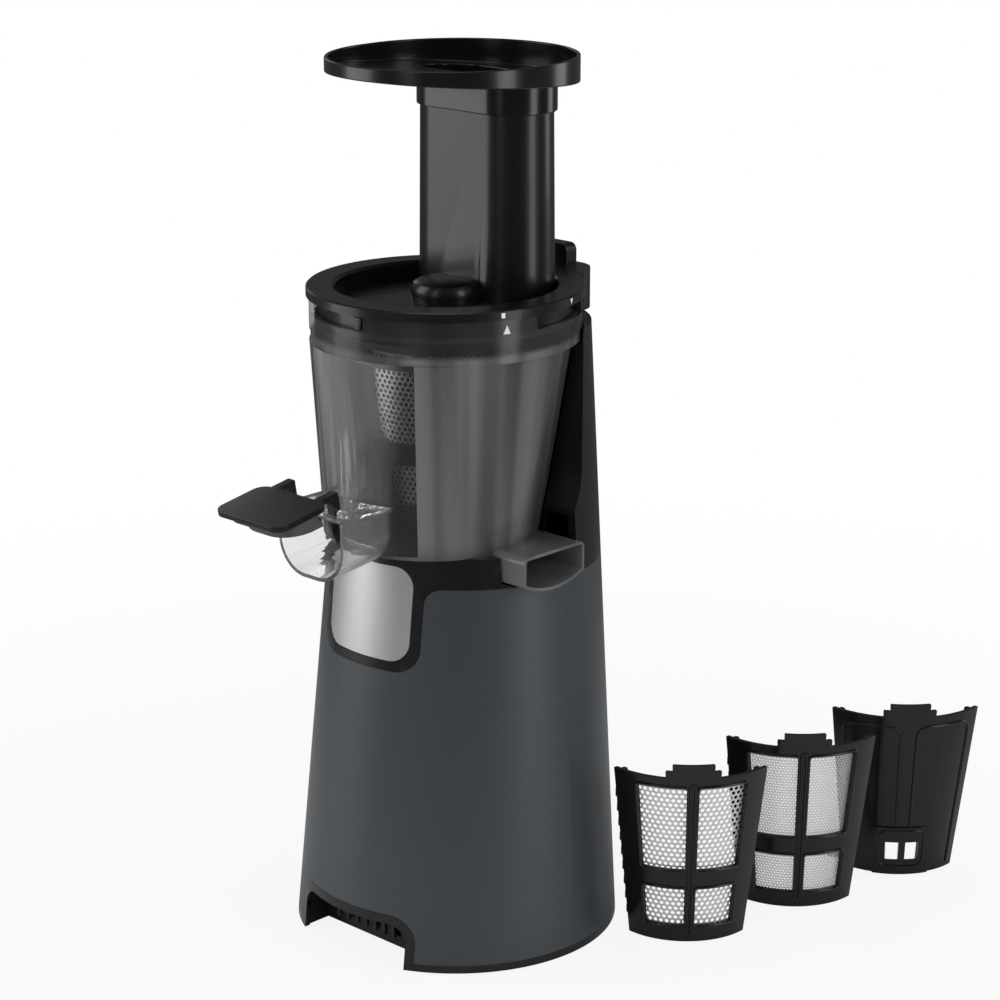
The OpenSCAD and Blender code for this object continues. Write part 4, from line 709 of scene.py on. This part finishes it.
def printed_mark(name, outline, azimuth, radius, z, body):
    """Raises a flat outline, given in millimetres across and up, a hair off a round wall."""
    shape = bmesh.new()
    inner, outer = ([shape.verts.new(around(azimuth + math.degrees(across * MM / radius),
                                            radius + lift, z + up * MM))
                     for across, up in outline] for lift in (MARK_SUNK, MARK_PROUD))
    shape.faces.new(outer)
    shape.faces.new(inner[::-1])
    for i in range(len(outline)):
        j = (i + 1) % len(outline)
        shape.faces.new((inner[i], inner[j], outer[j], outer[i]))
    bmesh.ops.recalc_face_normals(shape, faces=shape.faces)
    return finished_piece(name, mesh_of(name, shape), body, PRINT_WHITE)


printed_mark("mark_start_bowl", UP, 70.4, COLLAR_R, BOWL_MARK_Z, "bowl")
printed_mark("mark_start_lid", SQUARE, 68.2, LID_R, LID_MARK_Z, "lid")
printed_mark("mark_lock_lid", DOWN, 106.5, LID_R, LID_MARK_Z, "lid")
print("marks printed")

# %% [markdown]
# ## A rule for rows
# Air reaches the motor between small bars under the front arch, and two loose inserts have a
# row of teeth down their left edge. Both are one shape repeated at equal steps, which one
# Geometry Nodes tree does for any start, end and count.

# %% The tree that repeats a shape along a line
SMOOTH_ANGLE = 40


def row_graph():
    g = Graph("row_of_shapes", {
        "Shape": "Object", "Count": "Int", "Start": "Vector", "End": "Vector",
        "Turn": "Float", "Finish": "Material"})
    line = g.add("GeometryNodeMeshLine", {"mode": "END_POINTS"}, {
        "Count": g.given("Count"), "Start Location": g.given("Start"),
        "Offset": g.given("End")})
    shape = g.add("GeometryNodeObjectInfo", None, {"Object": g.given("Shape")}, "Geometry")
    spin = g.add("ShaderNodeCombineXYZ", None, {"X": 0.0, "Y": 0.0, "Z": g.given("Turn")})
    row = g.add("GeometryNodeInstanceOnPoints", None, {
        "Points": line, "Instance": shape, "Rotation": spin})
    return g.coated(g.add("GeometryNodeRealizeInstances", None, {"Geometry": row}))


def rounded_block(name, size, edge):
    shape = bmesh.new()
    bmesh.ops.create_cube(shape, size=1.0)
    bmesh.ops.scale(shape, vec=size, verts=shape.verts)
    bmesh.ops.bevel(shape, geom=shape.edges, offset=edge, segments=2, affect="EDGES",
                    profile=0.5)
    return placed(name, mesh_of(name, shape))


ROW = row_graph()


def row_of(name, block, count, start, end, turn, body, material):
    mesh = ROW.run({"Shape": block, "Count": count, "Start": start, "End": end,
                    "Turn": math.radians(turn)}, material)
    shade_by_angle(mesh, SMOOTH_ANGLE)
    return finished_piece(name, mesh, body, material)


print("row rule ready, nodes:", len(ROW.tree.nodes))

# %% [markdown]
# ## Bars and teeth
# The bars stand in a straight row across the arch. The teeth follow the insert's slanted edge,
# so the two ends of their row are worked out on the cone.

# %% Bars and teeth
BARS, ARCH_HALF, ARCH_Y, ARCH_Z = 7, 21 * MM, -62.2 * MM, 14.5 * MM
TEETH, TEETH_LOW, TEETH_HIGH, TOOTH_SUNK = 9, 14 * MM, 84 * MM, 1.0 * MM
LEFT_EDGE = LOOSE_TURN - LOOSE_HALF_ARC
bar = rounded_block("bar", (2.2 * MM, 2.4 * MM, 9.0 * MM), 0.6 * MM)
row_of("arch_bars", bar, BARS, (-ARCH_HALF, ARCH_Y, ARCH_Z), (ARCH_HALF, ARCH_Y, ARCH_Z),
       0.0, "base", MATT_BLACK)
tooth = rounded_block("tooth", (2.4 * MM, 1.6 * MM, 5.2 * MM), 0.6 * MM)
for body in ("spare_coarse", "spare_fine"):
    axis_x, axis_y = loose_axis(body)
    turn = math.radians(LEFT_EDGE)
    ends = []
    for height in (TEETH_LOW, TEETH_HIGH):
        reach = strainer_radius(INSERT_LOW + height) - TOOTH_SUNK
        ends.append((axis_x + reach * math.cos(turn), axis_y + reach * math.sin(turn), height))
    row_of("teeth_" + body, tooth, TEETH, *ends, LEFT_EDGE, body, SATIN_BLACK)
for block in (bar, tooth):
    bpy.data.objects.remove(block)
print("rows made")

# %% [markdown]
# ## Beads on the loose inserts
# A thin moulded wall is stiffened by beads: low round ridges, which the mould holds as grooves.
# On the strainer inserts a bead runs round every window and up the middle. On the blank one,
# a bead frames each of its two panels and another frames the small outlet. An outline is drawn
# flat, its corners are rounded by a curve, and it is then laid on the insert's cone.

# %% From a flat outline to a bead
INSERT_MIDDLE_R = strainer_radius((MESH_LOW + MESH_HIGH) / 2)
BEAD_R, BEAD_STEP, BEAD_SMOOTH = 0.85 * MM, 2 * MM, 50


def across(degrees):
    """Distance across an insert, from its middle line, that a turn makes."""
    return math.radians(degrees) * INSERT_MIDDLE_R


def rounded(corners, radius, closed, steps=5):
    path = []
    for i, corner in enumerate(corners):
        here = Vector(corner)
        if not closed and i in (0, len(corners) - 1):
            path.append(here)
            continue
        before = (Vector(corners[i - 1]) - here).normalized() * radius
        after = (Vector(corners[(i + 1) % len(corners)]) - here).normalized() * radius
        for k in range(steps + 1):
            share = k / steps
            path.append(here + before * (1 - share) ** 2 + after * share ** 2)
    return path


def on_insert(spot, body, lift=0.0):
    """The place on a loose insert's outer side for a spot on its flat drawing."""
    axis_x, axis_y = loose_axis(body)
    turn = math.radians(LOOSE_TURN) + spot.x / INSERT_MIDDLE_R
    reach = strainer_radius(spot.y) + lift
    return (axis_x + reach * math.cos(turn), axis_y + reach * math.sin(turn),
            spot.y - INSERT_LOW)


def beads(name, outlines, body):
    """One mesh of round ridges. Each outline is its corners, the radius that rounds them,
    if it closes, and how far it stands off the insert's wall."""
    curve = bpy.data.curves.new(name, "CURVE")
    curve.dimensions = "3D"
    curve.bevel_depth = BEAD_R
    curve.bevel_resolution = 2
    curve.use_fill_caps = True
    for corners, radius, closed, lift in outlines:
        path = rounded(corners, radius, closed)
        stops = path + path[:1] if closed else path
        spots = [] if closed else [path[0]]
        for first, second in zip(stops, stops[1:]):
            count = math.ceil((second - first).length / BEAD_STEP)
            spots += [first.lerp(second, (k + 1) / count) for k in range(count)]
        spline = curve.splines.new("POLY")
        spline.points.add(len(spots) - 1)
        spline.use_cyclic_u = closed
        for point, spot in zip(spline.points, spots):
            point.co = (*on_insert(spot, body, lift), 1)
    mesh = baked(placed(name, curve))
    shade_by_angle(mesh, BEAD_SMOOTH)
    return finished_piece(name, mesh, body, SATIN_BLACK)


print("bead helper ready, middle radius in mm:", round(INSERT_MIDDLE_R / MM, 1))

# %% [markdown]
# ## Drawing the windows' beads
# Both loose strainer inserts have the same drawing: two rows of two windows, with a bar up the
# middle. A window's sides are angles on the cone, and its ends are shares of the sheet's
# height.

# %% Beads of the strainer inserts
LOW_WINDOW_SHARE, HIGH_WINDOW_SHARE = 0.272, 0.409
MESH_SPAN = MESH_HIGH - MESH_LOW
WINDOW_ROWS = ((MESH_LOW, MESH_LOW + LOW_WINDOW_SHARE * MESH_SPAN),
               (MESH_LOW + HIGH_WINDOW_SHARE * MESH_SPAN, MESH_HIGH))
WINDOW_SIDES = ((3.7, 33.7), (-33.7, -3.7))
WINDOW_LIP, WINDOW_CORNER = 0.7 * MM, 2.4 * MM
BAR_HALF, BAR_CORNER = 1.5, 1.2 * MM


def box(left, right, low, high):
    return [(left, low), (right, low), (right, high), (left, high)]


window_beads = [(box(across(-BAR_HALF), across(BAR_HALF), MESH_LOW - 5 * MM,
                     MESH_HIGH + 2 * MM), BAR_CORNER, True, 0.0)]
for low, high in WINDOW_ROWS:
    for left, right in WINDOW_SIDES:
        window_beads.append((box(across(left) - WINDOW_LIP, across(right) + WINDOW_LIP,
                                 low - WINDOW_LIP, high + WINDOW_LIP),
                             WINDOW_CORNER, True, 0.0))
beads("beads_coarse", window_beads, "spare_coarse")
beads("beads_fine", window_beads, "spare_fine")
print("beads on each strainer insert:", len(window_beads))

# %% [markdown]
# ## The blank insert
# Its two panels are framed on three sides, and the outlet at its foot stands a little proud of
# the wall, so that bead is lifted with it. A small lever sticks out at the lower left corner.

# %% Beads and lever of the blank insert
POCKET_TOP_SHARE, POCKET_PROUD = 0.24, 1.2 * MM
POCKET_TOP = MESH_LOW + POCKET_TOP_SHARE * MESH_SPAN
POCKET_HALF, POCKET_CORNER = 16.5, 5 * MM
PANEL_INNER, PANEL_OUTER, PANEL_CORNER = 5.0, 42.0, 7 * MM
LEVER_SIZE, LEVER_EDGE = (13 * MM, 3 * MM, 4 * MM), 1.2 * MM
LEVER_OUT, LEVER_UP, LEVER_TURN = 2 * MM, 6 * MM, 45

blank_beads = [(box(across(-POCKET_HALF), across(POCKET_HALF), MESH_LOW - 4.5 * MM,
                    POCKET_TOP - 2 * MM), POCKET_CORNER, True, POCKET_PROUD)]
for side in (-1, 1):
    inner, outer = across(side * PANEL_INNER), across(side * PANEL_OUTER)
    blank_beads.append(([(inner, POCKET_TOP - 1 * MM), (inner, MESH_HIGH), (outer, MESH_HIGH),
                         (outer, INSERT_LOW + 3 * MM)], PANEL_CORNER, False, 0.0))
beads("beads_blank", blank_beads, "spare_blank")
lever = rounded_block("lever", LEVER_SIZE, LEVER_EDGE)
lever_mesh = lever.data
bpy.data.objects.remove(lever)
lever_spot = Vector((across(-LOOSE_HALF_ARC) - LEVER_OUT, INSERT_LOW + LEVER_UP))
lever_mesh.transform(Matrix.Translation(on_insert(lever_spot, "spare_blank"))
                     @ Matrix.Rotation(math.radians(LEVER_TURN), 4, "Z"))
shade_by_angle(lever_mesh, SMOOTH_ANGLE)
finished_piece("blank_lever", lever_mesh, "spare_blank", SATIN_BLACK)
print("beads and lever laid on the blank insert")

# %% [markdown]
# ## The floor
# The portrait is shot on white. The floor glows for the camera alone, which hides most of its
# shading but leaves a soft shadow under the object. It fades out before its edge, so that no
# line shows where it ends.

# %% Floor
FLOOR_HALF, FADE_START, FADE_END = 3.0, 0.25, 0.85
FLOOR_GLOW_SHARE = 0.88


def plain_floor():
    shape = bmesh.new()
    bmesh.ops.create_grid(shape, x_segments=2, y_segments=2, size=FLOOR_HALF)
    floor = placed("floor", mesh_of("floor", shape))
    finish = Finish("white_floor", Roughness=0.9, Specular_IOR_Level=0.0)
    haze = finish.noise(2.0, finish.place())
    place = finish.node("TexCoord", output="Object")
    away = finish.node("VectorMath", {"operation": "LENGTH"}, {0: place}, "Value")
    finish.shade(Base_Color=finish.blend(haze, (0.64, 0.64, 0.64, 1), (0.68, 0.68, 0.68, 1)),
                 Alpha=finish.ramp(away, FADE_START, FADE_END, low=1.0, high=0.0))
    seen = finish.node("LightPath", output="Is Camera Ray")
    white = finish.node("Emission", None, {"Color": (1, 1, 1, 1), "Strength": 1.0})
    surface = Wire(finish, finish.shader.outputs[0])
    both = finish.node("MixShader", None, {0: seen * FLOOR_GLOW_SHARE, 1: surface, 2: white})
    finish.feed(finish.tree.nodes["Material Output"].inputs["Surface"], both)
    floor.data.materials.append(finish.material)
    return floor


plain_floor()
print("floor laid")

# %% [markdown]
# ## The world behind it
# The world is fully white for the camera and for light that passes through the clear parts. As
# a lamp it is weaker, and in reflections it is nearly dark, so that the blacks stay black.

# %% World
LAMP_LEVEL, MIRROR_LEVEL = 0.60, 0.11
world = bpy.data.worlds.new("studio")
scene.world = world
world.use_nodes = True
tree = world.node_tree
back = tree.nodes["Background"]
path = tree.nodes.new("ShaderNodeLightPath")
seen = tree.nodes.new("ShaderNodeMath")
seen.operation = "MAXIMUM"
tree.links.new(path.outputs["Is Camera Ray"], seen.inputs[0])
tree.links.new(path.outputs["Is Transmission Ray"], seen.inputs[1])
dimmed = tree.nodes.new("ShaderNodeMapRange")
tree.links.new(path.outputs["Is Glossy Ray"], dimmed.inputs["Value"])
dimmed.inputs["To Min"].default_value = LAMP_LEVEL
dimmed.inputs["To Max"].default_value = MIRROR_LEVEL
level = tree.nodes.new("ShaderNodeMath")
level.operation = "MAXIMUM"
tree.links.new(seen.outputs[0], level.inputs[0])
tree.links.new(dimmed.outputs["Result"], level.inputs[1])
tree.links.new(level.outputs["Value"], back.inputs["Strength"])
back.inputs["Color"].default_value = (1, 1, 1, 1)
print("world set")

# %% [markdown]
# ## Six soft boxes
# Black plastic has almost no colour of its own, so it is drawn by what it mirrors. Tall boxes
# left and right give the long highlights on the tube and the wrap, a narrow one in front
# lights the window, and the others lift the lid's top and the edges at the back.

# %% Lamps
def soft_box(name, place, aim_height, size, power):
    data = bpy.data.lights.new(name, "AREA")
    data.shape = "RECTANGLE"
    data.size, data.size_y = size
    data.energy = power
    lamp = placed(name, data)
    aim = Vector((0, 0, aim_height)) - Vector(place)
    lamp.rotation_euler = aim.to_track_quat("-Z", "Y").to_euler()
    lamp.location = place


soft_box("key", (-1.05, -1.05, 0.60), aim_height=0.25, size=(0.9, 1.4), power=11.0)
soft_box("front", (0.25, -1.60, 0.80), aim_height=0.25, size=(0.35, 1.2), power=2.4)
soft_box("rim", (1.55, 0.25, 0.55), aim_height=0.25, size=(0.5, 1.4), power=8.0)
soft_box("top", (0.1, -0.2, 1.7), aim_height=0.3, size=(0.9, 0.9), power=3.0)
soft_box("back", (-1.50, 0.55, 0.90), aim_height=0.35, size=(0.6, 0.5), power=0.8)
soft_box("edge", (0.68, 1.45, 0.60), aim_height=0.30, size=(0.5, 1.0), power=4.0)
print("lamps placed")

# %% [markdown]
# ## The camera
# The photograph looks down a little, from forty-five degrees right of the front. The place,
# focal length and small shift come from lines measured on the object's own edges. The focal
# length is worked out in pixels of the photograph and turned into millimetres.

# %% Camera
EYE, AIM, ROLL = Vector((1.0238, -1.0254, 0.6657)), Vector((0, 0, 0.230)), math.radians(-0.3)
FOCAL_PX, PHOTO_PX, SENSOR = 2857.1, 1000, 36
SHIFT_X, SHIFT_Y = 0.0533, 0.010
camera_data = bpy.data.cameras.new("camera")
camera = placed("camera", camera_data)
forward = (AIM - EYE).normalized()
right = forward.cross(Vector((0, 0, 1))).normalized()
up = right.cross(forward)
right, up = (math.cos(ROLL) * right + math.sin(ROLL) * up,
             math.cos(ROLL) * up - math.sin(ROLL) * right)
facing = Matrix((right, up, -forward)).transposed().to_4x4()
camera.matrix_world = Matrix.Translation(EYE) @ facing
camera_data.lens = FOCAL_PX / PHOTO_PX * SENSOR
camera_data.sensor_width = SENSOR
camera_data.shift_x, camera_data.shift_y = SHIFT_X, SHIFT_Y
scene.camera = camera
scene.view_settings.view_transform = "Standard"
print("camera lens, mm:", round(camera_data.lens, 1))
